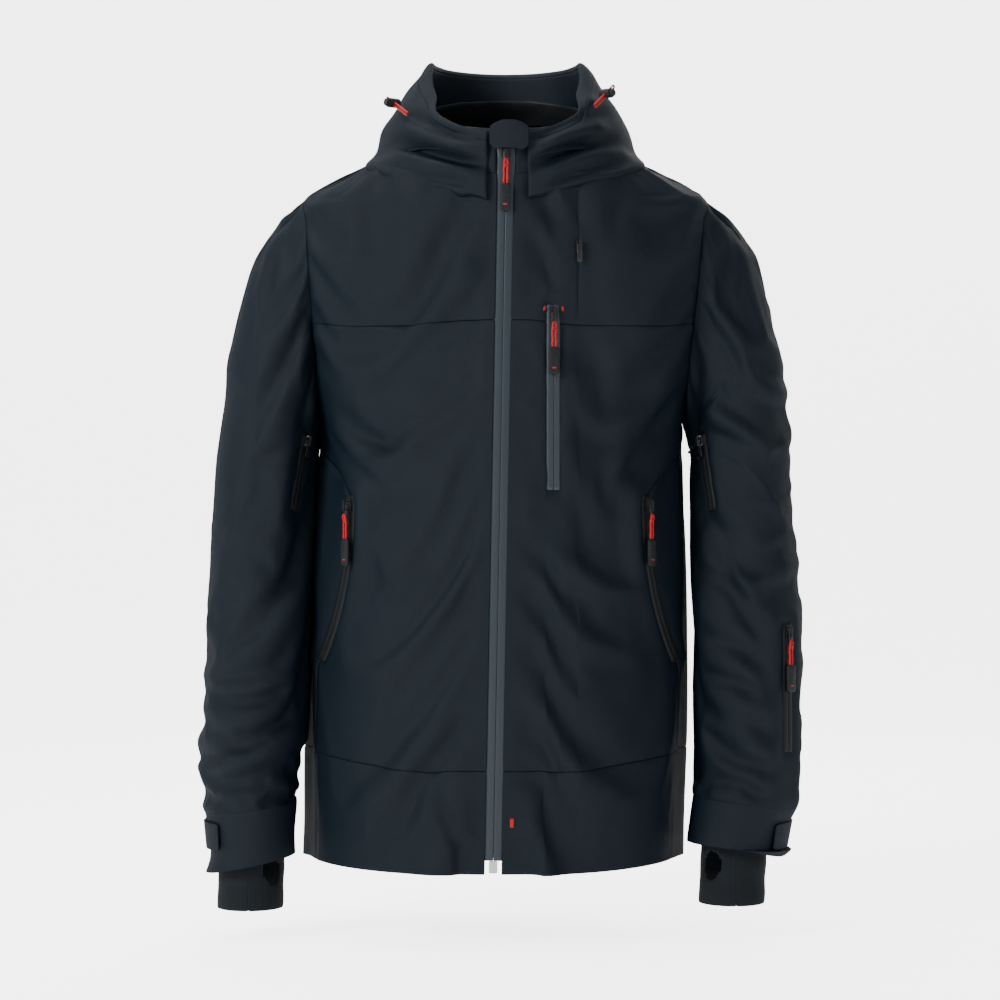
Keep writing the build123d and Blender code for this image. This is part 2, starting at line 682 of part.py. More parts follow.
with BuildPart() as chin_guard:
    with BuildSketch(main_plane.offset(GUARD_FRONT)):
        with Locations((GUARD_X, (GUARD_LOW + GUARD_HIGH) / 2)):
            RectangleRounded(GUARD_WIDTH, GUARD_HIGH - GUARD_LOW, 9)
    extrude(amount=GUARD_THICK)
    with BuildSketch(main_plane.offset(GUARD_BACK)):
        with Locations((GUARD_X, GUARD_HIGH - GUARD_STRIP[1] / 2)):
            Rectangle(*GUARD_STRIP)
    extrude(amount=GUARD_STRIP_DEPTH)
save(chin_guard.part, "chin_guard")

loop_back = LOOP_CENTRE + Vector(0, LOOP_WIDTH / 2, 0)
with BuildPart() as hanger_loop:
    with BuildSketch(Plane(origin=loop_back, x_dir=(1, 0, 0), z_dir=(0, -1, 0))):
        Circle(LOOP_RADIUS + LOOP_STRAP)
        with Locations((0, LOOP_RADIUS + LOOP_STRAP / 2)):
            Rectangle(LOOP_TAPE, LOOP_STRAP)
        Circle(LOOP_RADIUS, mode=Mode.SUBTRACT)
    extrude(amount=LOOP_WIDTH)
save(hanger_loop.part, "hanger_loop")

# ---- hood, worn down -----------------------------------------------------------------------------
brim_plane = Plane(BRIM).rotated((BRIM_TILT, 0, 0))
with BuildPart() as hood_body:
    add(stacked_ellipses(HOOD))
    add(stacked_ellipses(HOOD_BAG))
    add(stacked_ellipses(HOOD_OPENING), mode=Mode.SUBTRACT)
    add(torso_solid(-HOOD_CLEARANCE), mode=Mode.SUBTRACT)
    add(collar_solid(-HOOD_CLEARANCE), mode=Mode.SUBTRACT)
    add(block(HOOD_FRONT_GAP, (-WIDE, -50), (600, ABOVE_ALL)), mode=Mode.SUBTRACT)
    add(above(brim_plane), mode=Mode.SUBTRACT)
with BuildPart() as hood:
    add(hood_body.part)
    add(above(brim_plane.offset(-BRIM_WIDTH - SEAM)), mode=Mode.SUBTRACT)
save(hood.part, "hood")
with BuildPart() as hood_brim:
    add(hood_body.part)
    add(above(brim_plane.offset(-BRIM_WIDTH)), mode=Mode.INTERSECT)
save(hood_brim.part, "hood_brim")

cords, lock_bodies = [], []
for lock_name, (eyelet, middle) in HOOD_LOCKS.items():
    run = (middle - eyelet).normalized()
    outward = Vector(middle.X, middle.Y, 20)
    outward = (outward - run * outward.dot(run)).normalized()
    lock = Plane(origin=middle, x_dir=run, z_dir=outward)
    reach = (middle - eyelet).length
    with BuildPart() as cord:
        with BuildLine(lock) as path:
            near_end = (CORD_BEYOND_LOCK, -CORD_SPREAD)
            far_end = (CORD_BEYOND_LOCK, CORD_SPREAD)
            Line((-reach, -CORD_SPREAD), near_end)
            ThreePointArc(near_end, (CORD_BEYOND_LOCK + CORD_SPREAD, 0), far_end)
            Line(far_end, (-reach, CORD_SPREAD))
        with BuildSketch(Plane(origin=path.line @ 0, z_dir=path.line % 0)):
            Circle(CORD_RADIUS)
        sweep(path=path.line)
    cords.append(cord.part)
    with BuildPart() as lock_body:
        with BuildSketch(lock.offset(LOCK_BODY[0])):
            Circle(LOCK_RADIUS)
        extrude(amount=LOCK_BODY[1])
        with BuildSketch(lock.offset(LOCK_BORE_START)):
            Circle(LOCK_BUTTON_RADIUS + LOCK_BORE_GAP)
        extrude(amount=20, mode=Mode.SUBTRACT)
        with BuildSketch(lock.offset(LOCK_CORD_HOLE[0])):
            Rectangle(4 * LOCK_RADIUS, LOCK_HOLE_WIDTH)
        extrude(amount=LOCK_CORD_HOLE[1], mode=Mode.SUBTRACT)
    lock_bodies.append(lock_body.part)
    with BuildPart() as button:
        with BuildSketch(lock.offset(LOCK_BUTTON[0])):
            Circle(LOCK_BUTTON_RADIUS)
        extrude(amount=LOCK_BUTTON[1])
        with BuildSketch(lock.offset(BUTTON_CORD_HOLE_START)):
            Rectangle(4 * LOCK_RADIUS, LOCK_HOLE_WIDTH)
        extrude(amount=LOCK_TRAVEL - 2 * BUTTON_CORD_HOLE_START, mode=Mode.SUBTRACT)
    save(button.part, f"hood_lock_button_{lock_name}")
save(Compound(children=cords), "hood_cords")
save(Compound(children=lock_bodies), "hood_lock_bodies")

# ---- sleeves -------------------------------------------------------------------------------------
elbow_reach = 200.0  # further forward and back than a sleeve
elbow_rise = elbow_reach * tan(radians(ELBOW_FLEX / 2))
for sleeve_name, (side, outline) in SLEEVES.items():
    with BuildPart() as elbow_cut:
        with BuildSketch(Plane.YZ.offset(-1.2 * WIDE if side < 0 else 0)):
            with BuildLine():
                Polyline(
                    (elbow_reach, ELBOW_Z + SEAM),
                    (0, ELBOW_Z + SEAM),
                    (-elbow_reach, ELBOW_Z + SEAM + elbow_rise),
                    (-elbow_reach, ELBOW_Z - SEAM - elbow_rise),
                    (0, ELBOW_Z - SEAM),
                    (elbow_reach, ELBOW_Z - SEAM),
                    close=True,
                )
            make_face()
        extrude(amount=1.2 * WIDE)
    plane, length = pit_zips[sleeve_name]
    with BuildPart() as sleeve:
        add(shell(arm_outer[sleeve_name], arm_solid(side, outline, FABRIC)))
        add(elbow_cut.part, mode=Mode.SUBTRACT)
        add(slot(plane, pocket_slot, -SLOT_MARGIN, length + SLOT_MARGIN), mode=Mode.SUBTRACT)
        if sleeve_name == "left":
            pocket_end = sleeve_length + SLOT_MARGIN
            add(slot(sleeve_plane, pocket_slot, -SLOT_MARGIN, pocket_end), mode=Mode.SUBTRACT)
    lower, upper = sleeve.part.solids().sort_by(Axis.Z)
    save(upper, f"upper_sleeve_{sleeve_name}")
    save(lower, f"forearm_{sleeve_name}")

    inner_offset, outer_offset = CUFF_TAB_OFFSET
    tab_side = CUFF_TAB_X[sleeve_name]
    with BuildPart() as cuff_tab:
        add(shell(arm_solid(side, outline, -outer_offset), arm_solid(side, outline, -inner_offset)))
        add(block(tab_side, CUFF_TAB_Y, CUFF_TAB_Z), mode=Mode.INTERSECT)
    save(cuff_tab.part, f"cuff_tab_{sleeve_name}")

    cuff_tube = []
    for inset in (0, INNER_CUFF_FABRIC):
        half_sizes = [size - inset for size in INNER_CUFF_HALF]
        cuff_ends = INNER_CUFFS[sleeve_name][::-1]
        cuff_tube.append(oval_loft([(Plane(centre), *half_sizes) for centre in cuff_ends]))
    with BuildPart() as inner_cuff:
        add(cuff_tube[0])
        add(cuff_tube[1], mode=Mode.SUBTRACT)
        low_x, low_y, low_z = INNER_CUFFS[sleeve_name][1]
        hole_middle = (low_x, low_y + THUMB_HOLE_SHIFT[0], low_z + THUMB_HOLE_SHIFT[1])
        with BuildSketch(Plane(origin=hole_middle, x_dir=(0, 1, 0), z_dir=(-side, 0, 0))):
            Ellipse(*THUMB_HOLE)
        extrude(amount=60, mode=Mode.SUBTRACT)
    save(inner_cuff.part, f"inner_cuff_{sleeve_name}")

# ---- zips ----------------------------------------------------------------------------------------
for half, half_name in ((-1, "right"), (1, "left")):
    save(straight_tapes(main_plane, MAIN_TAPE, *MAIN_ZIP, (half,)), f"main_zip_{half_name}")
box_width, box_length, box_thick = MAIN_ZIP_BOX
with BuildPart() as main_zip_box:
    with BuildSketch(main_plane.offset(-MAIN_ZIP_BOX_BACK)):
        with Locations((0, MAIN_ZIP_BOX_MIDDLE)):
            RectangleRounded(box_width, box_length, 1.5)
    extrude(amount=box_thick)
save(main_zip_box.part, "main_zip_box")
save(slider(shifted(main_plane, 0, main_slider_y), *MAIN_SLIDER), "main_slider")
save_zip_pull(shifted(main_plane, 0, main_slider_y), "main")

STRAIGHT_ZIPS = {
    "chest": (chest_plane, chest_length, POCKET_SLIDER, True),
    "vent": (vent_plane, vent_length, SMALL_SLIDER, False),
    "sleeve": (sleeve_plane, sleeve_length, POCKET_SLIDER, True),
    "pit_right": (*pit_zips["right"], SMALL_SLIDER, False),
    "pit_left": (*pit_zips["left"], SMALL_SLIDER, False),
}
for zip_name, (plane, length, size, corded) in STRAIGHT_ZIPS.items():
    save(straight_tapes(plane, POCKET_TAPE, -ZIP_MARGIN, length + ZIP_MARGIN), f"{zip_name}_zip")
    parked = shifted(plane, 0, length - size[1] / 2)
    save(slider(parked, *size), f"{zip_name}_slider")
    save_zip_pull(parked, zip_name, corded)

for hand_name, (side, _) in SLEEVES.items():
    plane = hand_planes[hand_name]
    save(curved_tapes(plane, side, POCKET_TAPE), f"hand_zip_{hand_name}")
    parked = shifted(plane, -side * HAND_ZIP_RADIUS, 0)
    save(slider(parked, *POCKET_SLIDER, HAND_PULL_LIFT), f"hand_slider_{hand_name}")
    save_zip_pull(parked.offset(HAND_PULL_LIFT), f"hand_{hand_name}")
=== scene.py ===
"""The looks of a shell ski jacket: draped cloth, zips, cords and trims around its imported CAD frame.

Shapes are worked out in millimetres along the frame's own axes (+X the wearer's left, -Y the front, +Z up)
and handed to Blender in metres. Cloth follows sections cut from the CAD nodes, so it changes with them.
"""

import json
import math

import bpy
import numpy as np
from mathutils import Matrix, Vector, noise
from mathutils.bvhtree import BVHTree


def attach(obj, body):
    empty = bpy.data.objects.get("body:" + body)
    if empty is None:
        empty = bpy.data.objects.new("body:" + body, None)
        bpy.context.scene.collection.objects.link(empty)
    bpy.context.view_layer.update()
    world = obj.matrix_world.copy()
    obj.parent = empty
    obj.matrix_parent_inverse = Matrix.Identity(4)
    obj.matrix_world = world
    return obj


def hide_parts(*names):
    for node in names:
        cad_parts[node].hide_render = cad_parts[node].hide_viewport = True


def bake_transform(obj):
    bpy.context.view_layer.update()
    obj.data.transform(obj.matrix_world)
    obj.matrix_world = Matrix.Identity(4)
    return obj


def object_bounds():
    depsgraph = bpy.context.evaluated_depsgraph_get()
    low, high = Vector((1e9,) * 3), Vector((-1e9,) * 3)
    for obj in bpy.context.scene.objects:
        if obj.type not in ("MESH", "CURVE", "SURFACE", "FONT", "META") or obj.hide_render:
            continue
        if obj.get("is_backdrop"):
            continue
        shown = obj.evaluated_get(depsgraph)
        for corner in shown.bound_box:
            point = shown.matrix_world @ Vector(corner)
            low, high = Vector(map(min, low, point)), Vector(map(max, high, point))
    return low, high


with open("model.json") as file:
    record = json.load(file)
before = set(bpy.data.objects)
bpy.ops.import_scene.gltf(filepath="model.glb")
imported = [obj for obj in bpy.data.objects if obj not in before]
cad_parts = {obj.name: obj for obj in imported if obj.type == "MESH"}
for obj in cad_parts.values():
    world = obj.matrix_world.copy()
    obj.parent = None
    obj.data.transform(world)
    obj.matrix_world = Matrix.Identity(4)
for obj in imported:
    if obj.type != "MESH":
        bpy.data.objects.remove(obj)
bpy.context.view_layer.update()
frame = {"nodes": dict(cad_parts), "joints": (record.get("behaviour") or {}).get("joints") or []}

MM = 0.001

# ---- driving sizes, in millimetres ----
CLOTH = 0.9  # thickness of the visible face fabric
CELL = 8.0  # size of one cloth grid cell before subdivision
SEAM = 1.5  # distance from a seam to the first grid line beside it
SEAM_DIP = 0.9  # how far a seam sinks into the cloth
ZIP_EDGE = 8.4  # from the middle of the front zip to the cloth's edge
HEM_SEAM = 103.0
YOKE_SEAM = 557.0
ARMPIT = 456.0
SHOULDER = 694.0
SHOULDER_START = 689.0
NECK_Z = 741.0
NECK_Y = -18.5
NECK_SLOPE = math.tan(math.radians(21))
PULL_AXIS = 3.4  # a pull's hinge above its zip's face
HAND_SWEEP = 34.0  # degrees that a curved hand zip runs round
HAND_PULL_LIFT = 2.8  # how much further out the hand zips' pulls hang
POCKET_TAPE = 5.9
CHANNEL = -2.5  # how deep cloth sinks beneath a pocket zip's tape
PULL_HANG = 48.0  # how far below its slider a corded pull needs flat cloth

PULL_HINGE = (0.218, -115.437, 728.13)  # the front pull's hinge, from the point all places are counted from

joints = {joint["name"]: joint for joint in frame["joints"]}
HEM_POINT = np.array(joints["main_pull_swing"]["pos_m"]) / MM - PULL_HINGE


def corners_of(name):
    """A CAD node's corners in millimetres from the hem point."""
    mesh = frame["nodes"][name].data
    corners = np.empty(len(mesh.vertices) * 3)
    mesh.vertices.foreach_get("co", corners)
    return corners.reshape(-1, 3) / MM - HEM_POINT


def metres(point):
    """A point counted from the hem point, as the frame has it."""
    return tuple((np.array(point, float) + HEM_POINT) * MM)


# ---- measuring the frame ----
def cut(names, point, normal):
    """Where a plane cuts the edges of CAD nodes."""
    point, normal = np.array(point, float), np.array(normal, float)
    hits = []
    for name in names:
        mesh = frame["nodes"][name].data
        corners = corners_of(name)
        ends = np.empty(len(mesh.edges) * 2, int)
        mesh.edges.foreach_get("vertices", ends)
        start, end = corners[ends[0::2]], corners[ends[1::2]]
        before, after = (start - point) @ normal, (end - point) @ normal
        hit = before * after < 0
        share = (before[hit] / (before[hit] - after[hit]))[:, None]
        hits.append(start[hit] + (end[hit] - start[hit]) * share)
    return np.concatenate(hits)


def through(knots, values, at):
    """A smooth curve through values at knots, read at the places asked for."""
    knots, values, at = np.array(knots, float), np.array(values, float), np.asarray(at, float)
    slopes = np.gradient(values, knots, axis=0)
    cell = np.clip(np.searchsorted(knots, at) - 1, 0, len(knots) - 2)
    width = knots[cell + 1] - knots[cell]
    share = np.clip((at - knots[cell]) / width, 0, 1)
    if values.ndim > 1:
        width, share = width[..., None], share[..., None]
    low, high, square, cube = values[cell], values[cell + 1], share**2, share**3
    start = (2 * cube - 3 * square + 1) * low + (cube - 2 * square + share) * width * slopes[cell]
    return start + (3 * square - 2 * cube) * high + (cube - square) * width * slopes[cell + 1]


def ease(value):
    """0 below 0, 1 above 1 and smooth between."""
    value = np.clip(value, 0, 1)
    return value * value * (3 - 2 * value)


def unit(vector):
    """A vector's direction."""
    return np.array(vector, float) / np.linalg.norm(vector)


# ---- zips as planes ----
class Zip:
    """A zip's own plane: x across, y up along it, z out of the jacket, origin at the parked slider."""

    def __init__(self, name, slider_half):
        swing, travel = joints[name + "_pull_swing"], joints[name + "_slider_travel"]
        self.name = name
        self.half = slider_half
        self.x = -unit(swing["axis"])
        self.radius = 0.0
        if travel["type"] == "slide":
            self.y = -unit(travel["axis"])
            self.z = np.cross(self.x, self.y)
            self.run = travel["range_m"][1] / MM
        else:
            self.z = unit(travel["axis"]) * (1 if travel["axis"][1] < 0 else -1)
            self.y = np.cross(self.z, self.x)
        self.hinge = np.array(swing["pos_m"]) / MM - HEM_POINT
        self.lift = PULL_AXIS + (HAND_PULL_LIFT if travel["type"] == "hinge" else 0)
        self.origin = self.hinge - self.z * self.lift
        if travel["type"] == "hinge":
            self.radius = (np.array(travel["pos_m"]) / MM - HEM_POINT - self.origin) @ self.x
            self.run = abs(self.radius) * math.radians(HAND_SWEEP)

    def local(self, points):
        """Distance across the zip, distance along it and height above its plane."""
        rest = points - self.origin
        across, along, out = rest @ self.x, rest @ self.y, rest @ self.z
        if self.radius:
            reach = np.hypot(across - self.radius, along)
            angle = np.arctan2(along, np.abs(across - self.radius))
            across = (abs(self.radius) - reach) * np.sign(self.radius)
            along = abs(self.radius) * angle
        return across, along, out

    def hinge_frame(self, across, along, out):
        """A point measured straight from the parked slider, as a pull is."""
        across, along, out = (np.asarray(part, float)[..., None] for part in (across, along, out))
        return self.origin + across * self.x + along * self.y + out * self.z

    def world(self, across, along, out):
        """The point at those distances."""
        if self.radius:
            angle = along / abs(self.radius)
            reach = abs(self.radius) - across * np.sign(self.radius)
            across = self.radius - np.sign(self.radius) * reach * np.cos(angle)
            along = reach * np.sin(angle)
        return self.hinge_frame(across, along, out)


CORDED_ZIPS = ("chest", "sleeve", "hand_right", "hand_left")
BARE_ZIPS = ("vent", "pit_right", "pit_left")
zips = {"main": Zip("main", 8.5)}
zips.update({name: Zip(name, 7.0) for name in CORDED_ZIPS})
zips.update({name: Zip(name, 5.5) for name in BARE_ZIPS})


def sink_under(points, names):
    """Flattens cloth beside pocket zips and sinks it under their tapes."""
    for name in names:
        zipper = zips[name]
        across, along, out = zipper.local(points)
        above = np.maximum(along - zipper.half - 3, 0)
        below = np.maximum(-along - zipper.run - zipper.half - 5, 0)
        pull_reach = 0 if zipper.radius or name in BARE_ZIPS else PULL_HANG
        past_end = above + np.maximum(below - pull_reach, 0)
        flat = ease(1 - (np.abs(across) - 12) / 22) * ease(1 - past_end / 26) * (np.abs(out) < 45)
        tape, depth = (0.6, -1.1) if name == "vent" else (POCKET_TAPE + 0.5, CHANNEL)
        deep = ease(1 - (np.abs(across) - tape) / 1.7) * ease(1 - (above + below) / 3)
        points = points + ((depth * deep - out) * flat)[..., None] * zipper.z
    return points


# ---- torso sections ----
TORSO_STARTS = ("front_", "hem_panel", "side_panel", "back_")
TORSO_NODES = [name for name in frame["nodes"] if name.startswith(TORSO_STARTS)]


def zip_line(z):
    """The straight front edge's x and y at a height."""
    main = zips["main"]
    along = (z - main.origin[2]) / main.y[2]
    return main.origin[0] + along * main.y[0], main.origin[1] + along * main.y[1]


def torso_sections():
    """Centre x, centre y, half width, half depth and the armhole's reach at heights down the torso."""
    rows = []
    heights = [1, 60, 149, 225, 299, 380, 440, 454, 470, 500, 530, 555]
    heights += [580, 610, 640, 664, 692, 712, 728, 742, 755, 768]
    for z in heights:
        ring = cut(TORSO_NODES, (0, 0, z), (0, 0, 1))
        front_x, front_y = zip_line(z)
        half_depth = (ring[:, 1].max() - front_y) / 2
        centre_y = front_y + half_depth
        widest = ring[np.argmax(np.abs(ring[:, 0] - front_x))]
        reach = abs(widest[0] - front_x)
        half_width = reach / math.sqrt(max(1 - ((widest[1] - centre_y) / half_depth) ** 2, 0.05))
        rows.append((front_x, centre_y, half_width, half_depth, reach))
    return heights, rows


SECTION_Z, SECTIONS = torso_sections()


def torso_at(z):
    """The torso's section at any height, each measure on its own."""
    return np.moveaxis(through(SECTION_Z, SECTIONS, z), -1, 0)


def torso_surface(turn, z):
    """The torso's skin: turn is 0 at the front zip and grows toward the wearer's left."""
    centre_x, centre_y, half_width, half_depth, _ = torso_at(z)
    x = centre_x + half_width * np.sin(turn)
    y = centre_y - half_depth * np.cos(turn)
    return np.stack(np.broadcast_arrays(x, y, z), -1)


def turn_at_x(x, z):
    """The turn on the front where the skin passes a given x."""
    centre_x, _, half_width, _, _ = torso_at(z)
    return np.arcsin(np.clip((x - centre_x) / half_width, -1, 1))


def hand_seam_turn(side, z):
    """The seam that runs from the armpit down along the hand zip to the hem."""
    zipper = zips["hand_right" if side < 0 else "hand_left"]
    drop = np.clip(z - zipper.origin[2], -abs(zipper.radius) * 0.6, 0)
    angle = np.arcsin(drop / abs(zipper.radius))
    place = zipper.world(0.0, angle * abs(zipper.radius), 0.0)
    centre_x, centre_y, half_width, half_depth, _ = torso_at(z)
    outward, forward = np.abs(place[..., 0] - centre_x) / half_width, (centre_y - place[..., 1]) / half_depth
    on_zip = np.arctan2(outward, forward)
    to_armpit = ease((z - zipper.origin[2] - 8) / (ARMPIT - zipper.origin[2] - 8))
    return on_zip + (math.pi / 2 - on_zip) * to_armpit


def back_seam_turn(z):
    """The seam between side and back, which meets the front one at the armpit."""
    return math.pi / 2 + 0.27 * ease((ARMPIT - z) / 90)


def armhole_turn(z):
    """How far round the front the cloth reaches before the armhole cuts it."""
    _, _, half_width, _, reach = torso_at(z)
    return np.arcsin(np.clip(reach / half_width, 0, 1))


# ---- the torso's cloth grid ----
def spread(low, high, cell):
    """Evenly spaced places from low up to but not including high."""
    return list(np.linspace(low, high, max(int(round((high - low) / cell)), 1), endpoint=False))


def torso_rows():
    """Heights of the grid's rows up to the shoulder, with close rows beside each seam."""
    rows = [0.0] + spread(SEAM, HEM_SEAM - SEAM, CELL) + [HEM_SEAM - SEAM, HEM_SEAM]
    rows += spread(HEM_SEAM + SEAM, YOKE_SEAM - SEAM, CELL) + [YOKE_SEAM - SEAM, YOKE_SEAM]
    return rows + spread(YOKE_SEAM + SEAM, SHOULDER_START, CELL)


LOW_ROWS = torso_rows()
TOP_ROWS = 15
ROW_COUNT = len(LOW_ROWS) + TOP_ROWS
HEM_ROW, YOKE_ROW = LOW_ROWS.index(HEM_SEAM), LOW_ROWS.index(YOKE_SEAM)
FRONT_SPLIT = (1, 4, 1, 2, 1, 2, 1, 2, 1, 13, 1, 1)  # cells between the front's fixed lines
SIDE_SPLIT = (1, 1, 8, 1)
BACK_SPLIT = (1, 44, 1)


NECK_DEPTH = 98.0  # from the neck's middle to its front and back at the shoulder


def row_height(row, turn):
    """A row's height: curved along the hem, then level, and stretched up to the neckline at the shoulder."""
    side = np.sin(turn) ** 2
    if row < len(LOW_ROWS):
        z = LOW_ROWS[row]
        lift = 8 + 10 * ease(z / HEM_SEAM)
        return z + lift * side * ease((300 - z) / 200)
    share = (row - len(LOW_ROWS)) / (TOP_ROWS - 1)
    neck_y = NECK_Y + 4 - NECK_DEPTH * np.cos(turn)
    top = NECK_Z + (neck_y - NECK_Y) * NECK_SLOPE
    return SHOULDER_START + share * (top - SHOULDER_START)


def filled(knots, split):
    """Places between knots, each stretch divided as split says."""
    places = []
    for low, high, count in zip(knots, knots[1:], split):
        places += list(np.linspace(low, high, count, endpoint=False))
    return places + [knots[-1]]


def front_knots(side, z, seam):
    """Turns of one front's fixed lines: the front zip's edge, both chest zips' and the hand zip's seam."""
    edge_x = zip_line(z)[0] + side * ZIP_EDGE
    lines = [edge_x, edge_x + side * SEAM]
    for name in ("chest", "vent"):
        x = zips[name].world(0.0, -zips[name].run / 2, 0.0)[0]
        x = x if side > 0 else 2 * zip_line(z)[0] - x
        near, far = (POCKET_TAPE + 0.6, POCKET_TAPE + 2.2) if name == "chest" else (0.7, 2.6)
        lines += [x - side * far, x - side * near, x + side * near, x + side * far]
    turns = [abs(float(turn_at_x(x, z))) for x in lines]
    if side < 0:
        shares = np.cumsum(FRONT_SPLIT[1:-2]) / sum(FRONT_SPLIT[1:-2])
        turns[2:] = list(turns[1] + (seam - 0.07 - turns[1]) * shares[:-1])
    _, _, half_width, half_depth, _ = torso_at(z)
    speed = math.hypot(half_width * math.cos(seam), half_depth * math.sin(seam))
    return turns + [seam - (POCKET_TAPE + 2.2) / speed, seam - (POCKET_TAPE + 0.6) / speed, seam]


def torso_turns(row):
    """All of a row's turns, from the left zip edge round the back to the right zip edge."""
    z_side = float(row_height(row, math.pi / 2))
    z_front = float(row_height(row, 0.6))
    strips = {}
    for side in (1, -1):
        if z_side < ARMPIT:
            seam, back = float(hand_seam_turn(side, z_front)), float(back_seam_turn(z_side))
        else:
            seam = float(armhole_turn(z_side))
            back = math.pi - seam
        width = max(back - seam, 0)
        near = min(POCKET_TAPE / 150, width * 0.15)
        strips[side] = (
            filled(front_knots(side, min(z_front, SECTION_Z[-1]), seam), FRONT_SPLIT),
            filled([seam, seam + near, seam + near * 1.35, back - width * 0.02, back], SIDE_SPLIT),
            back,
        )
    left, right = strips[1], strips[-1]
    rim = 0.011
    far = 2 * math.pi - right[2]
    middle = filled([left[2], left[2] + rim, far - rim, far], BACK_SPLIT)
    mirrored = [[2 * math.pi - turn for turn in part[::-1]] for part in right[:2]]
    return left[0] + left[1][1:] + middle[1:] + mirrored[1][1:] + mirrored[0][1:]


FRONT_CELLS, SIDE_CELLS, BACK_CELLS = sum(FRONT_SPLIT), sum(SIDE_SPLIT), sum(BACK_SPLIT)
EDGES = np.cumsum([0, FRONT_CELLS, SIDE_CELLS, BACK_CELLS, SIDE_CELLS, FRONT_CELLS])


def torso_grid():
    """The torso's cloth as rows of points."""
    turns = np.array([torso_turns(row) for row in range(ROW_COUNT)])
    return np.stack([torso_surface(turns[row], row_height(row, turns[row])) for row in range(ROW_COUNT)])


def normals_of(points):
    """Outward normals of a grid whose columns run the way the turn grows and whose rows run up."""
    across = np.gradient(points, axis=1)
    along = np.gradient(points, axis=0)
    normal = np.cross(across, along)
    length = np.linalg.norm(normal, axis=-1, keepdims=True)
    return normal / np.maximum(length, 1e-9)


# ---- sheets ----
def grid_faces(rows, columns, keep=None):
    """Quads of a grid, or only those whose cell is kept."""
    index = np.arange(rows * columns).reshape(rows, columns)
    quads = np.stack([index[:-1, :-1], index[:-1, 1:], index[1:, 1:], index[1:, :-1]], -1)
    return quads[keep] if keep is not None else quads.reshape(-1, 4)


def lengths(points):
    """Distance along each row and along each column of a grid, from its first point."""
    across = np.linalg.norm(np.diff(points, axis=1), axis=-1).cumsum(axis=1)
    along = np.linalg.norm(np.diff(points, axis=0), axis=-1).cumsum(axis=0)
    return np.pad(across, ((0, 0), (1, 0))), np.pad(along, ((1, 0), (0, 0)))


def faces_out(points, faces, inside):
    """Turns faces over when most of them look at a point inside."""
    a, b, d = points[faces[:, 0]], points[faces[:, 1]], points[faces[:, 3]]
    looks = (np.cross(b - a, d - a) * (a - np.array(inside, float))).sum()
    return faces if looks > 0 else faces[:, ::-1]


def sheet(name, points, faces, material, chart, lines=None, thick=CLOTH, nodes=(), body="root"):
    """A cloth piece from a grid of points, with its chart and seam distances in millimetres."""
    points = points.reshape(-1, 3)
    used, compact = np.unique(faces, return_inverse=True)
    faces = compact.reshape(faces.shape)
    mesh = bpy.data.meshes.new(name)
    mesh.from_pydata(((points[used] + HEM_POINT) * MM).tolist(), [], faces.tolist())
    flat = np.stack([part.reshape(-1)[used] for part in chart], -1)
    layer = mesh.uv_layers.new(name="chart")
    layer.uv.foreach_set("vector", flat[faces.reshape(-1)].reshape(-1))
    for line_name, values in (lines or {}).items():
        attribute = mesh.attributes.new(line_name, "FLOAT", "POINT")
        attribute.data.foreach_set("value", values.reshape(-1)[used].astype(np.float32))
    mesh.polygons.foreach_set("use_smooth", [True] * len(faces))
    mesh.materials.append(material)
    mesh.validate()
    piece = bpy.data.objects.new(name, mesh)
    bpy.context.collection.objects.link(piece)
    modifier = piece.modifiers.new("smooth", "SUBSURF")
    modifier.levels = modifier.render_levels = 1
    modifier = piece.modifiers.new("thickness", "SOLIDIFY")
    modifier.thickness = thick * MM
    modifier.offset = -1
    if body:
        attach(piece, body)
    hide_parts(*nodes)
    return piece


def plain_sheet(name, grid, material, thick, node, inside=None, keep=None, body="root"):
    """A piece of cloth without stitching, from a grid whose outside faces away from a point inside."""
    faces = grid_faces(*grid.shape[:2], keep)
    if inside is not None:
        faces = faces_out(grid.reshape(-1, 3), faces, inside)
    sheet(name, grid, faces, material, lengths(grid), None, thick, (node,), body)


def drape(points, faces, pinned, inner, grow, frames):
    """Lets grown cloth settle over an inner form and returns where it comes to rest."""
    scale = 4.0  # the solver is steadier on larger cells
    scene = bpy.context.scene
    mesh = bpy.data.meshes.new("draping")
    mesh.from_pydata((points * MM * scale).tolist(), [], faces.tolist())
    cloth = bpy.data.objects.new("draping", mesh)
    form_mesh = bpy.data.meshes.new("form")
    form_mesh.from_pydata((inner * MM * scale).tolist(), [], faces.tolist())
    form = bpy.data.objects.new("form", form_mesh)
    for thing in (form, cloth):
        scene.collection.objects.link(thing)
    form.modifiers.new("solid", "COLLISION")
    form.collision.thickness_outer = 0.004
    form.collision.cloth_friction = 8
    group = cloth.vertex_groups.new(name="pinned")
    group.add(np.flatnonzero(pinned).tolist(), 1.0, "REPLACE")
    modifier = cloth.modifiers.new("cloth", "CLOTH")
    rules = modifier.settings
    rules.quality = 7
    rules.mass = 0.25
    rules.tension_stiffness = rules.compression_stiffness = 30
    rules.shear_stiffness = 12
    rules.bending_stiffness = 1.2
    rules.air_damping = 2
    rules.vertex_group_mass = "pinned"
    rules.shrink_min = -grow
    modifier.collision_settings.distance_min = 0.004
    modifier.point_cache.frame_start, modifier.point_cache.frame_end = 1, frames
    for frame_number in range(1, frames + 1):
        scene.frame_set(frame_number)
    settled = cloth.evaluated_get(bpy.context.evaluated_depsgraph_get()).data
    result = np.empty(len(points) * 3)
    settled.vertices.foreach_get("co", result)
    scene.frame_set(1)
    for thing in (cloth, form):
        data = thing.data
        bpy.data.objects.remove(thing)
        bpy.data.meshes.remove(data)
    return result.reshape(-1, 3) / MM / scale


MOST_SLIP = 5.0  # how far cloth may slide along the body


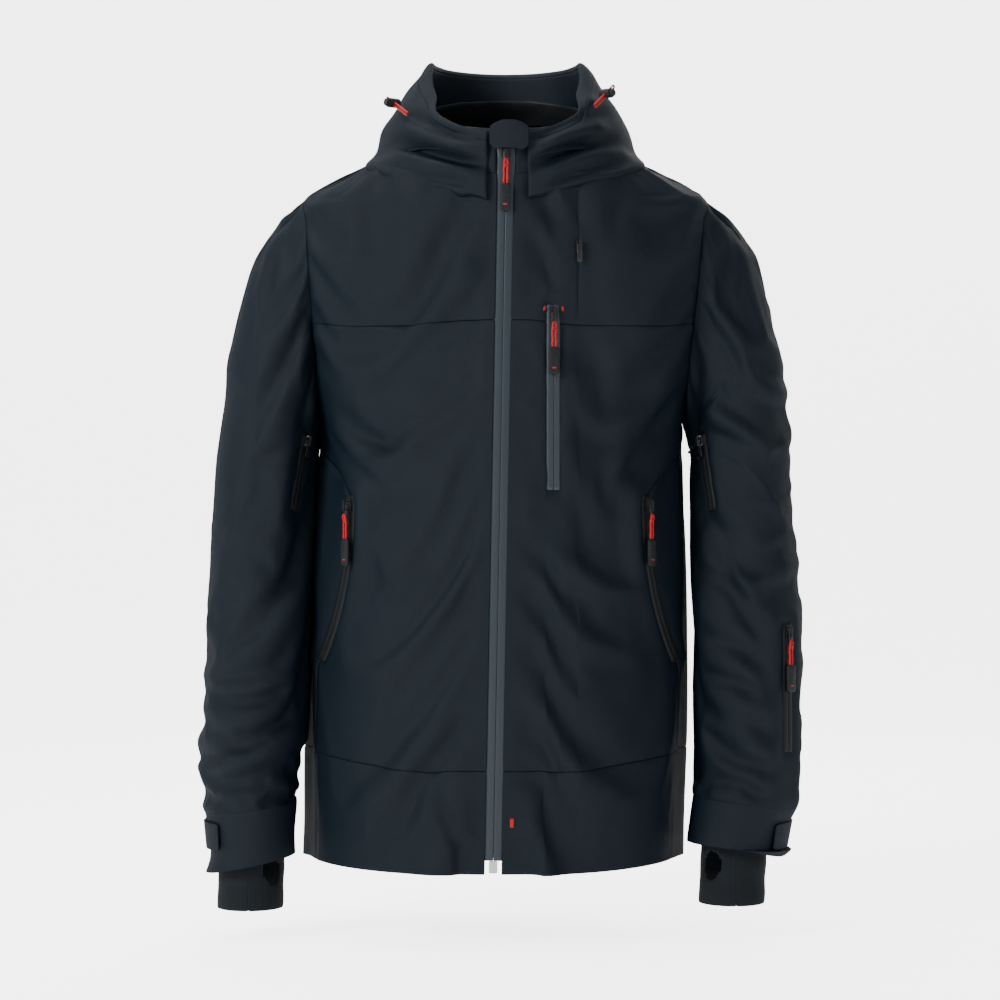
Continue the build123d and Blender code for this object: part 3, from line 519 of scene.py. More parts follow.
def held(base, moved, normal, low, high):
    """Keeps a draped point within limits of where the pattern put it."""
    shift = moved - base
    out = (shift * normal).sum(-1, keepdims=True)
    along = shift - out * normal
    reach = np.linalg.norm(along, axis=-1, keepdims=True)
    along = along * np.minimum(1, MOST_SLIP / np.maximum(reach, 1e-6))
    middle, half = (high + low) / 2, (high - low) / 2
    return base + along + (middle + half * np.tanh((out - middle) / half)) * normal


FOLD_HEIGHT = 1.7  # how strongly all designed folds show
INNER_FORM = 9.0  # how far beneath the pattern the form lies that cloth settles on


def creases(points, normal, folds, front=True):
    """Presses folds into cloth: each runs from one (x, z) to another with a height and a width."""
    facing = ease(-normal[..., 1] * 4) if front else ease(normal[..., 1] * 4)
    raised = np.zeros(points.shape[:-1])
    for start, end, height, width in folds:
        start, end = np.array(start, float), np.array(end, float)
        run = end - start
        rest = np.stack([points[..., 0], points[..., 2]], -1) - start
        share = (rest @ run) / (run @ run)
        aside = (rest @ np.array([-run[1], run[0]])) / np.linalg.norm(run)
        bow = aside - np.sin(np.clip(share, 0, 1) * math.pi) * width * 0.6
        ends = ease(share * 4 + 0.4) * ease((1 - share) * 4 + 0.4)
        valley = np.exp(-((bow / width) ** 2))
        ridge = np.exp(-(((bow - width * 1.7) / (width * 1.3)) ** 2))
        raised += FOLD_HEIGHT * height * ends * (0.75 * ridge - valley)
    return points + (raised * facing)[..., None] * normal


def rumple(points, normal, size, height, seed, stretch=(1, 1, 1)):
    """Soft uneven swells over cloth."""
    flat = points.reshape(-1, 3) / size / np.array(stretch)
    wave = [noise.noise(Vector(place) + Vector((seed, 0, 0))) for place in flat]
    return points + np.array(wave).reshape(points.shape[:-1])[..., None] * height * normal


# ---- torso ----
TORSO_FOLDS = (
    ((-98, 455), (-150, 425), 5.0, 9),
    ((-104, 425), (-165, 470), 4.0, 9),
    ((104, 430), (165, 462), 4.5, 9),
    ((120, 400), (158, 452), 3.5, 8),
    ((90, 545), (100, 380), 3.0, 8),
    ((-60, 640), (-120, 560), 3.0, 14),
    ((-30, 330), (-135, 270), 3.0, 14),
    ((20, 300), (130, 255), 3.5, 14),
    ((-20, 190), (-120, 150), 3.0, 12),
    ((25, 175), (125, 215), 3.0, 12),
    ((-40, 20), (-70, 95), 2.5, 9),
    ((60, 15), (40, 95), 2.5, 9),
    ((110, 20), (130, 95), 2.5, 10),
    ((-115, 18), (-128, 98), 2.5, 10),
    ((28, 690), (60, 640), 2.5, 10),
    ((-30, 480), (-90, 520), 2.4, 12),
)
BACK_FOLDS = (
    ((-150, 420), (-70, 360), 4.0, 13),
    ((150, 425), (70, 350), 4.0, 13),
    ((-120, 300), (60, 255), 3.5, 14),
    ((120, 215), (-50, 170), 3.5, 14),
    ((-60, 560), (-120, 470), 3.5, 13),
    ((70, 560), (125, 480), 3.5, 13),
    ((-30, 20), (-50, 98), 2.5, 10),
    ((80, 20), (65, 98), 2.5, 10),
)
TORSO_ZIPS = ("chest", "vent", "hand_right", "hand_left")


def side_row(height):
    """The first row whose side reaches a height."""
    rows = [row_height(row, math.pi / 2) for row in range(ROW_COUNT)]
    return int(np.argmax(np.array(rows) >= height))


PIT_ROW, CREST_ROW = side_row(ARMPIT), side_row(SHOULDER)
SEAM_COLUMNS = EDGES[1:-1].tolist()
ARMHOLES = ((EDGES[1], EDGES[2]), (EDGES[3], EDGES[4]))  # the columns each armhole interrupts


def torso_cells():
    """Which cells are cloth: all but those the armholes take."""
    cells = np.ones((ROW_COUNT - 1, EDGES[-1]), bool)
    for start, end in ARMHOLES:
        cells[PIT_ROW:, start:end] = False
    return cells


def torso_pins():
    """Points stitched to something firm."""
    pins = np.zeros((ROW_COUNT, EDGES[-1] + 1), bool)
    pins[:, :3] = pins[:, -3:] = True
    pins[-2:] = True
    for start, end in ARMHOLES:
        pins[PIT_ROW - 4 :, start : end + 1] = True
    return pins


def draped_torso():
    """The torso's pattern and its cloth as it comes to rest."""
    base = torso_grid()
    normal = normals_of(base)
    points = creases(base, normal, TORSO_FOLDS)
    points = creases(points, normal, BACK_FOLDS, front=False)
    points = rumple(points, normal, 70, 4.0, 11, (1, 1, 1.3))
    pins = torso_pins()
    columns = np.arange(EDGES[-1] + 1)
    firm = ease(np.minimum(columns, columns[::-1]) / 6.0)
    points = base + (points - base) * firm[None, :, None]
    points[pins] = base[pins]
    cells = torso_cells()
    faces = grid_faces(*pins.shape, cells)
    inner = base - normal * INNER_FORM
    moved = drape(points.reshape(-1, 3), faces, pins.reshape(-1), inner.reshape(-1, 3), 0.035, 26)
    points = held(base, moved.reshape(base.shape), normal, -7.0, 11.0)
    points[pins] = base[pins]
    return base, sink_under(points, TORSO_ZIPS)


NO_HEM = 900.0  # a distance from the hem that is far from any stitching


def seam_distances(points, columns, rows, hem=False):
    """Each point's distance from the nearest seam, and its place on the laid-out cloth."""
    across, along = lengths(points)
    beside = np.min([np.abs(across - across[:, [column]]) for column in columns], axis=0)
    above = np.min([np.abs(along - along[[row]]) for row in rows], axis=0)
    from_hem = along if hem else np.full(along.shape, NO_HEM)
    return {"beside": beside, "above": above, "from_hem": from_hem}, (across, along)


def dip_seams(points, columns, rows):
    """Sinks seam lines a little so that panels meet in a groove."""
    normal = normals_of(points)
    mask = np.zeros(points.shape[:-1])
    mask[:, columns] = 1
    mask[rows] = 1
    return points - mask[..., None] * SEAM_DIP * normal


PANELS = {
    "front_panel_left": (0, (HEM_ROW, YOKE_ROW)),
    "front_yoke_left": (0, (YOKE_ROW, ROW_COUNT - 1)),
    "side_panel_left": (1, (HEM_ROW, PIT_ROW)),
    "back_panel": (2, (HEM_ROW, YOKE_ROW)),
    "back_yoke": (2, (YOKE_ROW, ROW_COUNT - 1)),
    "side_panel_right": (3, (HEM_ROW, PIT_ROW)),
    "front_panel_right": (4, (HEM_ROW, YOKE_ROW)),
    "front_yoke_right": (4, (YOKE_ROW, ROW_COUNT - 1)),
}


def build_torso(points, material):
    """The torso's panels, parted where the CAD model parts them."""
    shape = points.shape[:2]
    lines, chart = seam_distances(points, SEAM_COLUMNS, [HEM_ROW, YOKE_ROW], hem=True)
    points = dip_seams(points, SEAM_COLUMNS, [HEM_ROW, YOKE_ROW])
    cells = torso_cells()
    for name, (block, (low, high)) in PANELS.items():
        keep = np.zeros_like(cells)
        keep[low:high, EDGES[block] : EDGES[block + 1]] = True
        faces = grid_faces(*shape, keep & cells)
        sheet(name + "_cloth", points, faces, material, chart, lines, nodes=(name,))
    middle = (EDGES[2] + EDGES[3]) // 2
    for word, (start, end) in {"left": (0, middle), "right": (middle, EDGES[-1])}.items():
        keep = np.zeros_like(cells)
        keep[:HEM_ROW, start:end] = True
        name = "hem_panel_" + word
        sheet(name + "_cloth", points, grid_faces(*shape, keep), material, chart, lines, nodes=(name,))


# ---- sleeves ----
ARM_X = 203.0  # where the sleeves' inner edges lie, near enough to aim the cuts
ARM_CUTS = (  # height of the sleeve's inner edge and the slope of the cut through it, in degrees
    (450.5, 79.0),
    (442, 71.9),
    (430, 59.7),
    (412, 35.0),
    (376, 10.7),
    (276, 4.5),
    (200, 2.7),
    (150, 0.0),
    (110, -2.7),
    (60, -8.0),
    (26, -13.0),
)


def arm_sections(side, word):
    """Middle, long direction, half length and half depth of cuts down one sleeve."""
    names = ["upper_sleeve_" + word, "forearm_" + word]
    rows = []
    for inner_z, slope in ARM_CUTS:
        slope = math.radians(slope)
        along = np.array([side * math.cos(slope), 0, math.sin(slope)])
        normal = np.array([-side * math.sin(slope), 0, math.cos(slope)])
        start = np.array([side * ARM_X, 0, inner_z])
        ring = cut(names, start, normal)
        reach, depth = ring @ along, ring[:, 1]
        centre = start + along * ((reach.max() + reach.min()) / 2 - start @ along)
        centre[1] = (depth.max() + depth.min()) / 2
        rows.append((*centre, slope, (reach.max() - reach.min()) / 2, (depth.max() - depth.min()) / 2))
    return rows


def rim_edge(word, side):
    """The inner and outer lowest points of a sleeve's end, as x and z."""
    corners = corners_of("forearm_" + word)
    low = corners[corners[:, 2] < 45]
    ends = []
    for edge in (side * (low[:, 0] * side).min(), side * (low[:, 0] * side).max()):
        near = low[np.abs(low[:, 0] - edge) < 7]
        place = near[np.argmin(near[:, 2])]
        ends.append((edge, place[2]))
    return ends


def armhole_loop(points, side):
    """The armhole's edge on the torso, from the armpit up the front and down the back."""
    front, back = (EDGES[1], EDGES[2]) if side > 0 else (EDGES[4], EDGES[3])
    up = points[PIT_ROW : CREST_ROW + 1, front]
    down = points[PIT_ROW + 1 : CREST_ROW, back][::-1]
    return np.concatenate([up, down])


CUFF_FACING = 62.0  # how far the cuff's facing reaches up the sleeve
CUFF_SEAM_DIP = 0.7
SLEEVE_FOLDS = {
    -1: (
        ((-215, 300), (-268, 262), 5.5, 9),
        ((-222, 275), (-290, 232), 3.0, 8),
        ((-225, 215), (-300, 196), 4.5, 8),
        ((-228, 182), (-304, 176), 5.5, 9),
        ((-222, 158), (-290, 128), 5.5, 10),
        ((-305, 330), (-240, 305), 3.0, 10),
        ((-226, 110), (-300, 88), 3.5, 9),
        ((-215, 560), (-262, 470), 4.0, 11),
        ((-205, 450), (-262, 420), 4.5, 10),
        ((-250, 640), (-285, 540), 2.5, 13),
    ),
    1: (
        ((198, 300), (250, 266), 5.0, 9),
        ((203, 232), (262, 212), 4.5, 8),
        ((206, 196), (262, 178), 5.5, 9),
        ((208, 160), (280, 138), 4.0, 9),
        ((232, 108), (292, 92), 5.5, 9),
        ((212, 92), (262, 72), 3.5, 9),
        ((296, 330), (226, 302), 3.0, 10),
        ((208, 560), (258, 470), 4.0, 11),
        ((200, 450), (256, 420), 4.5, 10),
        ((246, 640), (280, 540), 2.5, 13),
    ),
}


def sleeve_grid(side, word, loop):
    """A sleeve's cloth from the armhole down to the cuff, its first row being the armhole's edge."""
    top, bottom = loop[np.argmax(loop[:, 2])], loop[np.argmin(loop[:, 2])]
    middle = (top + bottom) / 2
    depth = (loop[:, 1].max() - loop[:, 1].min()) / 2
    middle[1] = (loop[:, 1].max() + loop[:, 1].min()) / 2
    slope = math.atan2(top[2] - bottom[2], side * (top[0] - bottom[0]))
    armhole = (*middle, slope, np.linalg.norm((top - bottom)[[0, 2]]) / 2, depth)
    sections = [armhole] + arm_sections(side, word)
    (inner_x, inner_z), (outer_x, outer_z) = rim_edge(word, side)
    last = sections[-1]
    slope = math.atan2(outer_z - inner_z, side * (outer_x - inner_x))
    half = math.hypot(outer_x - inner_x, outer_z - inner_z) / 2
    y = last[1] + (last[1] - sections[-2][1]) * 0.4
    sections.append(((inner_x + outer_x) / 2, y, (inner_z + outer_z) / 2, slope, half, last[5] - 0.6))
    sections = np.array(sections, float)
    outer = sections[:, [0, 2]].copy()
    outer[:, 0] += side * sections[:, 4] * np.cos(sections[:, 3])
    outer[:, 1] += sections[:, 4] * np.sin(sections[:, 3])
    knots = np.concatenate([[0], np.linalg.norm(np.diff(outer, axis=0), axis=1).cumsum()])
    end = knots[-1]
    facing = end - CUFF_FACING
    places = [0.0, SEAM] + list(np.linspace(8, facing - SEAM, int(facing / CELL)))
    places += [facing, facing + SEAM] + list(np.linspace(facing + 8, end - SEAM, 8)) + [end]
    places = np.array(places)
    rows = through(knots, sections, places)
    count = len(loop)
    even = math.pi - 2 * math.pi * np.arange(count) / count
    reach = (loop - sections[0, :3])
    along = np.array([side * math.cos(sections[0, 3]), 0, math.sin(sections[0, 3])])
    own = np.unwrap(np.arctan2(-reach[:, 1] / sections[0, 5], reach @ along / sections[0, 4]))
    own += math.pi - own[0]
    grid = np.empty((len(places), count, 3))
    for number, (row, place) in enumerate(zip(rows, places)):
        share = ease(place / 260)
        turn = own + (even - own) * share
        long = np.array([side * math.cos(row[3]), 0, math.sin(row[3])])
        ring = row[:3] + np.outer(np.cos(turn) * row[4], long)
        ring[:, 1] -= np.sin(turn) * row[5]
        if number == 0:
            gap = loop - ring
        grid[number] = ring + gap * (1 - ease(place / 45))
    return grid, int(np.argmin(np.abs(places - facing)))


def closed(grid):
    """Repeats a tube's first column at its end."""
    return np.concatenate([grid, grid[:, :1]], axis=1)


def tube_faces(rows, columns):
    """Quads of a tube whose last column meets its first."""
    index = np.arange(rows * columns).reshape(rows, columns)
    after = np.roll(index, -1, axis=1)
    return np.stack([index[:-1], after[:-1], after[1:], index[1:]], -1).reshape(-1, 4)


def tube_normals(grid, inside):
    """A tube's outward normals."""
    wrapped = np.concatenate([grid[:, -1:], grid, grid[:, :1]], axis=1)
    across = wrapped[:, 2:] - wrapped[:, :-2]
    along = np.gradient(grid, axis=0)
    normal = np.cross(across, along)
    normal /= np.maximum(np.linalg.norm(normal, axis=-1, keepdims=True), 1e-9)
    looks = (normal * (grid - inside)).sum()
    return normal if looks > 0 else -normal


def build_sleeve(side, word, torso_points, material):
    """One sleeve as a single draped piece over the upper sleeve and the forearm, following their angle at the
    elbow.
    """
    loop = armhole_loop(torso_points, side)
    base, facing_row = sleeve_grid(side, word, loop)
    axis = base.mean(axis=1, keepdims=True)
    normal = tube_normals(base, axis)
    points = creases(base, normal, SLEEVE_FOLDS[side])
    points = creases(points, normal, SLEEVE_FOLDS[-side][:6], front=False)
    points = rumple(points, normal, 60, 3.5, 31 + side, (1, 1, 0.7))
    rows = np.arange(len(base))
    firm = ease(rows / 5.0) * ease((facing_row + 1 - rows) / 4.0)
    points = base + (points - base) * firm[:, None, None]
    pins = np.zeros(base.shape[:2], bool)
    pins[:2] = True
    pins[facing_row:] = True
    faces = tube_faces(*pins.shape)
    flat = faces_out(base.reshape(-1, 3), faces, axis.mean(axis=0)[0])
    zip_names = ["pit_" + word] + (["sleeve"] if side > 0 else [])
    inner = base - normal * INNER_FORM
    moved = drape(points.reshape(-1, 3), flat, pins.reshape(-1), inner.reshape(-1, 3), 0.05, 24)
    points = held(base, moved.reshape(base.shape), normal, -8.0, 9.0)
    points[pins] = base[pins]
    points = sink_under(points, zip_names)
    points[0] = loop
    points = closed(points)
    lines, chart = seam_distances(points, [0, points.shape[1] - 1], [0, facing_row, len(rows) - 1])
    wrapped = normals_of(points)
    wrapped *= np.sign((wrapped * (points - axis)).sum())
    points[facing_row] -= wrapped[facing_row] * CUFF_SEAM_DIP
    faces = faces_out(points.reshape(-1, 3), grid_faces(*points.shape[:2]), axis[len(axis) // 2][0])
    nodes = ("upper_sleeve_" + word, "forearm_" + word)
    piece = sheet("sleeve_%s_cloth" % word, points, faces, material, chart, lines, body=None, nodes=nodes)
    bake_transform(piece)


# ---- materials ----
class Finish:
    """Builds a node material step by step."""

    def __init__(self, name, colour, rough=0.6, metal=0.0):
        self.material = bpy.data.materials.new(name)
        self.material.use_nodes = True
        self.tree = self.material.node_tree
        self.shader = self.tree.nodes["Principled BSDF"]
        self.shader.inputs["Base Color"].default_value = (*colour, 1)
        self.shader.inputs["Roughness"].default_value = rough
        self.shader.inputs["Metallic"].default_value = metal

    def node(self, kind, **settings):
        made = self.tree.nodes.new(kind)
        for key, value in settings.items():
            setattr(made, key, value)
        return made

    def link(self, source, target):
        self.tree.links.new(source, target)

    def math(self, operation, *values):
        made = self.node("ShaderNodeMath", operation=operation)
        for socket, value in zip(made.inputs, values):
            if isinstance(value, (int, float)):
                socket.default_value = value
            else:
                self.link(value, socket)
        return made.outputs[0]

    def chart(self):
        return self.node("ShaderNodeUVMap", uv_map="chart").outputs[0]

    def place(self, scale=1000.0):
        """A place on the piece, in millimetres unless scaled otherwise."""
        source = self.node("ShaderNodeTexCoord")
        mapping = self.node("ShaderNodeMapping")
        mapping.inputs["Scale"].default_value = (scale, scale, scale)
        self.link(source.outputs["Object"], mapping.inputs[0])
        return mapping.outputs[0]

    def noise(self, where, scale, detail=3.0):
        made = self.node("ShaderNodeTexNoise")
        made.inputs["Scale"].default_value = scale
        made.inputs["Detail"].default_value = detail
        self.link(where, made.inputs["Vector"])
        return made.outputs[0]

    def wave(self, where, scale, direction):
        made = self.node("ShaderNodeTexWave", bands_direction=direction)
        made.inputs["Scale"].default_value = scale
        self.link(where, made.inputs["Vector"])
        return made.outputs["Fac"]

    def mix(self, share, low, high):
        made = self.node("ShaderNodeMix", data_type="RGBA")
        for socket, value in zip((made.inputs[0], made.inputs[6], made.inputs[7]), (share, low, high)):
            if isinstance(value, tuple):
                socket.default_value = (*value, 1)
            elif isinstance(value, (int, float)):
                socket.default_value = value
            else:
                self.link(value, socket)
        return made.outputs[2]

    def paint(self, colour):
        self.link(colour, self.shader.inputs["Base Color"])

    def bump(self, height, strength=0.3, distance=0.0003):
        made = self.node("ShaderNodeBump")
        made.inputs["Strength"].default_value = strength
        made.inputs["Distance"].default_value = distance
        self.link(height, made.inputs["Height"])
        self.link(made.outputs[0], self.shader.inputs["Normal"])

    def matt_edges(self, shine):
        """A shine that fades toward the edges, as on soft cloth, where a hard surface would turn bright."""
        weight = self.node("ShaderNodeLayerWeight")
        weight.inputs["Blend"].default_value = 0.5
        faded = self.math("MULTIPLY", self.math("SUBTRACT", 1.0, weight.outputs["Facing"]), shine * 1.4)
        self.link(faded, self.shader.inputs["Specular IOR Level"])


def stitch_line(finish, line, offset):
    """A row of stitches at a distance from a seam, as a 0 to 1 mask."""
    source = finish.node("ShaderNodeAttribute", attribute_name=line)
    gap = finish.math("ABSOLUTE", finish.math("SUBTRACT", source.outputs["Fac"], offset))
    near = finish.math("SMOOTH_MIN", 1.0, finish.math("DIVIDE", gap, 0.5), 0.2)
    return finish.math("SUBTRACT", 1.0, near)


def shell_fabric(name, colour, darker):
    """Tightly woven, slightly sheeny face fabric with seams stitched beside their joins."""
    finish = Finish(name, colour, 0.62)
    chart = finish.chart()
    cloudy = finish.noise(finish.place(9.0), 1.0, 4.0)
    finish.paint(finish.mix(cloudy, darker, colour))
    warp = finish.wave(chart, 2.4, "X")
    weft = finish.wave(chart, 2.4, "Y")
    weave = finish.math("MULTIPLY", finish.math("ADD", warp, weft), 0.5)
    stitches = stitch_line(finish, "beside", 2.4)
    for line, offset in (("above", 2.4), ("from_hem", 36.0)):
        stitches = finish.math("MAXIMUM", stitches, stitch_line(finish, line, offset))
    height = finish.math("SUBTRACT", weave, finish.math("MULTIPLY", stitches, 2.5))
    finish.bump(height, 0.35, 0.00025)
    grain = finish.noise(chart, 0.7, 2.0)
    rough = finish.math("ADD", 0.52, finish.math("MULTIPLY", grain, 0.2))
    finish.link(rough, finish.shader.inputs["Roughness"])
    finish.matt_edges(0.10)
    return finish.material


def plain_finish(name, colour, rough, metal=0.0, grain=1.2, height=0.15, shine=0.12):
    """A hard or soft finish with a fine uneven grain and slight colour change."""
    finish = Finish(name, colour, rough, metal)
    finish.shader.inputs["Specular IOR Level"].default_value = shine
    place = finish.place()
    grains = finish.noise(place, grain, 4.0)
    finish.paint(finish.mix(grains, *[tuple(part * shade for part in colour) for shade in (0.75, 1.2)]))
    finish.bump(grains, height, 0.0002)
    return finish.material


NAVY = (0.0030, 0.0066, 0.0110)
NAVY_DEEP = (0.0022, 0.0050, 0.0084)
MATERIALS = {
    "shell": shell_fabric("shell_fabric", NAVY, NAVY_DEEP),
    "lining": plain_finish("lining_fabric", (0.008, 0.009, 0.011), 0.45),
    "metal": plain_finish("zip_metal", (0.02, 0.02, 0.022), 0.32, 0.6, 0.8, 0.15, 0.4),
    "silver": plain_finish("zip_silver", (0.55, 0.55, 0.56), 0.28, 1.0, 0.8, 0.15, 0.5),
    "cord": plain_finish("elastic_cord", (0.012, 0.013, 0.015), 0.7, 0.0, 2.5, 0.5),
    "plastic": plain_finish("lock_plastic", (0.014, 0.015, 0.017), 0.4, 0.0, 1.0, 0.1),
    "tape": plain_finish("zip_tape", (0.016, 0.023, 0.030), 0.4, 0.0, 0.5, 0.05, 0.3),
    "dark_tape": plain_finish("zip_tape_dark", (0.006, 0.007, 0.008), 0.5, 0.0, 0.5, 0.05),
    "red": plain_finish("zip_pull_red", (0.30, 0.012, 0.014), 0.5, 0.0, 2.0, 0.3),
    "rubber": plain_finish("pull_grip", (0.01, 0.0115, 0.013), 0.55, 0.0, 1.5, 0.2),
    "knit": plain_finish("stretch_knit", (0.007, 0.009, 0.011), 0.9, 0.0, 2.0, 0.5),
}


PAPER_GLOW = 0.9  # how much light the backdrop gives off
PAPER_WHITER = 2.6  # how much brighter the camera sees it, so that it shows as white
SWEEP_FRONT, SWEEP_BACK, SWEEP_CURVE, SWEEP_TOP, SWEEP_WIDE = 9.0, 2.5, 1.5, 9.0, 12.0  # in metres
CAMERA_LENS = 100.8
CAMERA_PLACE = (-6, -2940, 375)


# ---- light, floor and camera ----
def area_light(name, place, aim, size, power):
    """A square soft light turned toward a point."""
    data = bpy.data.lights.new(name, "AREA")
    data.size = size
    data.energy = power
    lamp = bpy.data.objects.new(name, data)
    lamp.location = place
    lamp.rotation_euler = (Vector(aim) - Vector(place)).to_track_quat("-Z", "Y").to_euler()
    bpy.context.collection.objects.link(lamp)
    lamp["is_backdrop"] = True


def studio():
    """A pale sweep with soft light, brighter from the wearer's right."""
    low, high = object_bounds()
    middle = [(a + b) / 2 for a, b in zip(low, high)]
    floor_z = low[2] - 0.03
    steps = [(-SWEEP_FRONT, floor_z), (SWEEP_BACK, floor_z)]
    for step in range(1, 9):
        angle = math.radians(90 * step / 8)
        rise = SWEEP_CURVE * (1 - math.cos(angle))
        steps.append((SWEEP_BACK + SWEEP_CURVE * math.sin(angle), floor_z + rise))
    steps.append((SWEEP_BACK + SWEEP_CURVE, SWEEP_TOP))
    corners = [(x, y, z) for y, z in steps for x in (-SWEEP_WIDE, SWEEP_WIDE)]
    faces = [(2 * i, 2 * i + 1, 2 * i + 3, 2 * i + 2) for i in range(len(steps) - 1)]
    mesh = bpy.data.meshes.new("sweep")
    mesh.from_pydata(corners, [], faces)
    mesh.polygons.foreach_set("use_smooth", [True] * len(faces))
    sweep = bpy.data.objects.new("sweep", mesh)
    bpy.context.collection.objects.link(sweep)
    paper = Finish("paper", (0.9, 0.9, 0.9), 0.9)
    paper.shader.inputs["Emission Color"].default_value = (1, 1, 1, 1)
    seen = paper.node("ShaderNodeLightPath")
    glow = paper.math("ADD", PAPER_GLOW, paper.math("MULTIPLY", seen.outputs["Is Camera Ray"], PAPER_WHITER))
    paper.link(glow, paper.shader.inputs["Emission Strength"])
    paper.bump(paper.noise(paper.place(30.0), 4.0), 0.02, 0.001)
    mesh.materials.append(paper.material)
    sweep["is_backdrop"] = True
    world = bpy.data.worlds.new("studio")
    world.use_nodes = True
    background = world.node_tree.nodes["Background"]
    seen = world.node_tree.nodes.new("ShaderNodeLightPath")
    strength = world.node_tree.nodes.new("ShaderNodeMapRange")
    strength.inputs["To Min"].default_value = 0.5
    strength.inputs["To Max"].default_value = 1.0
    world.node_tree.links.new(seen.outputs["Is Camera Ray"], strength.inputs["Value"])
    world.node_tree.links.new(strength.outputs[0], background.inputs[1])
    background.inputs[0].default_value = (1, 1, 1, 1)
    bpy.context.scene.world = world
    area_light("key", (-2.3, -1.9, 1.9), middle, 0.9, 120)
    area_light("fill", (2.4, -2.2, 0.9), middle, 1.8, 14)
    area_light("top", (-0.4, 0.1, 2.6), middle, 1.0, 45)
    area_light("rim", (0.4, 2.2, 1.6), middle, 1.6, 30)


def camera():
    """Looks level at the middle of the front, from three metres off."""
    data = bpy.data.cameras.new("camera")
    data.lens = CAMERA_LENS
    data.sensor_width = 36.0
    shot = bpy.data.objects.new("camera", data)
    shot.location = metres(CAMERA_PLACE)
    shot.rotation_euler = (math.pi / 2, 0, 0)
    bpy.context.collection.objects.link(shot)
    bpy.context.scene.camera = shot


# ---- reading surfaces off the frame ----
def surface_of(*names):
    """CAD nodes as one surface that rays can be cast at."""
    corners, faces = [], []
    for name in names:
        mesh = frame["nodes"][name].data
        first = len(corners)
        corners += [Vector(corner) for corner in corners_of(name)]
        faces += [[first + index for index in face.vertices] for face in mesh.polygons]
    return BVHTree.FromPolygons(corners, faces)


RAY = 400.0


def outer_reach(surface, centre, turn, z):
    """How far out from an upright axis the surface's outside is, or None where there is none."""
    way = Vector((math.sin(turn), -math.cos(turn), 0))
    start = Vector((centre[0], centre[1], z)) + way * RAY
    hit = surface.ray_cast(start, -way, RAY)
    return RAY - hit[3] if hit[0] is not None else None


def inner_reach(surface, centre, turn, z):
    """The same for the surface's inside."""
    way = Vector((math.sin(turn), -math.cos(turn), 0))
    hit = surface.ray_cast(Vector((centre[0], centre[1], z)), way, RAY)
    return hit[3] if hit[0] is not None else None


def top_of(surface, centre, turn, low, high):
    """The greatest height at which the surface is still met."""
    if outer_reach(surface, centre, turn, low) is None:
        return low
    for _ in range(9):
        middle = (low + high) / 2
        if outer_reach(surface, centre, turn, middle) is None:
            high = middle
        else:
            low = middle
    return low


def smoothed(grid, times=1):
    """Evens out a grid along its rows and columns, its border staying."""
    for _ in range(times):
        inner = (grid[:-2, 1:-1] + grid[2:, 1:-1] + grid[1:-1, :-2] + grid[1:-1, 2:]) / 4
        grid = grid.copy()
        grid[1:-1, 1:-1] = grid[1:-1, 1:-1] * 0.4 + inner * 0.6
    return grid


def resampled(path, count):
    """Evenly spaced points along a line of points."""
    path = np.array(path)
    run = np.concatenate([[0], np.linalg.norm(np.diff(path, axis=0), axis=1).cumsum()])
    places = np.linspace(0, run[-1], count)
    return np.stack([np.interp(places, run, path[:, axis]) for axis in range(3)], -1)


# ---- hood and collar ----
HOOD_FOLDS = (
    ((-16, 712), (-112, 742), 5.0, 6),
    ((-22, 738), (-100, 768), 4.0, 6),
    ((-40, 694), (-128, 716), 3.5, 6),
    ((22, 712), (108, 746), 5.0, 6),
    ((26, 738), (102, 776), 4.0, 6),
    ((44, 694), (128, 722), 3.5, 6),
)
HOOD_BACK_FOLDS = (
    ((-110, 790), (60, 700), 5.0, 9),
    ((105, 770), (-40, 660), 4.5, 9),
    ((-100, 690), (20, 625), 4.0, 9),
    ((-60, 812), (80, 780), 3.5, 8),
)
HOOD_ROWS, HOOD_RIM, HOOD_COLUMNS = 46, 28, 111


def hood_profile(surface, yoke, centre, turn):
    """Up the hood's outside, over its rim and down its inside, for one turn."""
    sine, cosine = math.sin(turn), math.cos(turn)
    hits = [(z, outer_reach(surface, centre, turn, z)) for z in np.arange(572, 846, 2.5)]
    hits = [(z, reach) for z, reach in hits if reach is not None]
    top = top_of(surface, centre, turn, hits[-1][0], hits[-1][0] + 2.5)
    hits.append((top, outer_reach(surface, centre, turn, top)))
    front = min(turn, 2 * math.pi - turn)
    low = 682 + 34 * (front - 0.2)
    for z in np.arange(hits[0][0] - 4, low, -4):
        reach = outer_reach(yoke, centre, turn, z)
        if reach is not None:
            hits.insert(0, (z, max(reach + 4.5, hits[0][1])))
    hits = [(hits[0][0] - 6, hits[0][1] - 7), (hits[0][0] - 4, hits[0][1] - 1.5)] + hits
    outside = [(centre[0] + reach * sine, centre[1] - reach * cosine, z) for z, reach in hits]
    inside = []
    for z in np.linspace(top - 1.0, max(top - 75, 722), 16):
        reach = inner_reach(surface, centre, turn, z)
        if reach is not None and reach < 125:
            inside.append((centre[0] + reach * sine, centre[1] - reach * cosine, z))
    return np.concatenate([resampled(outside, HOOD_RIM), resampled(inside, HOOD_ROWS - HOOD_RIM)])


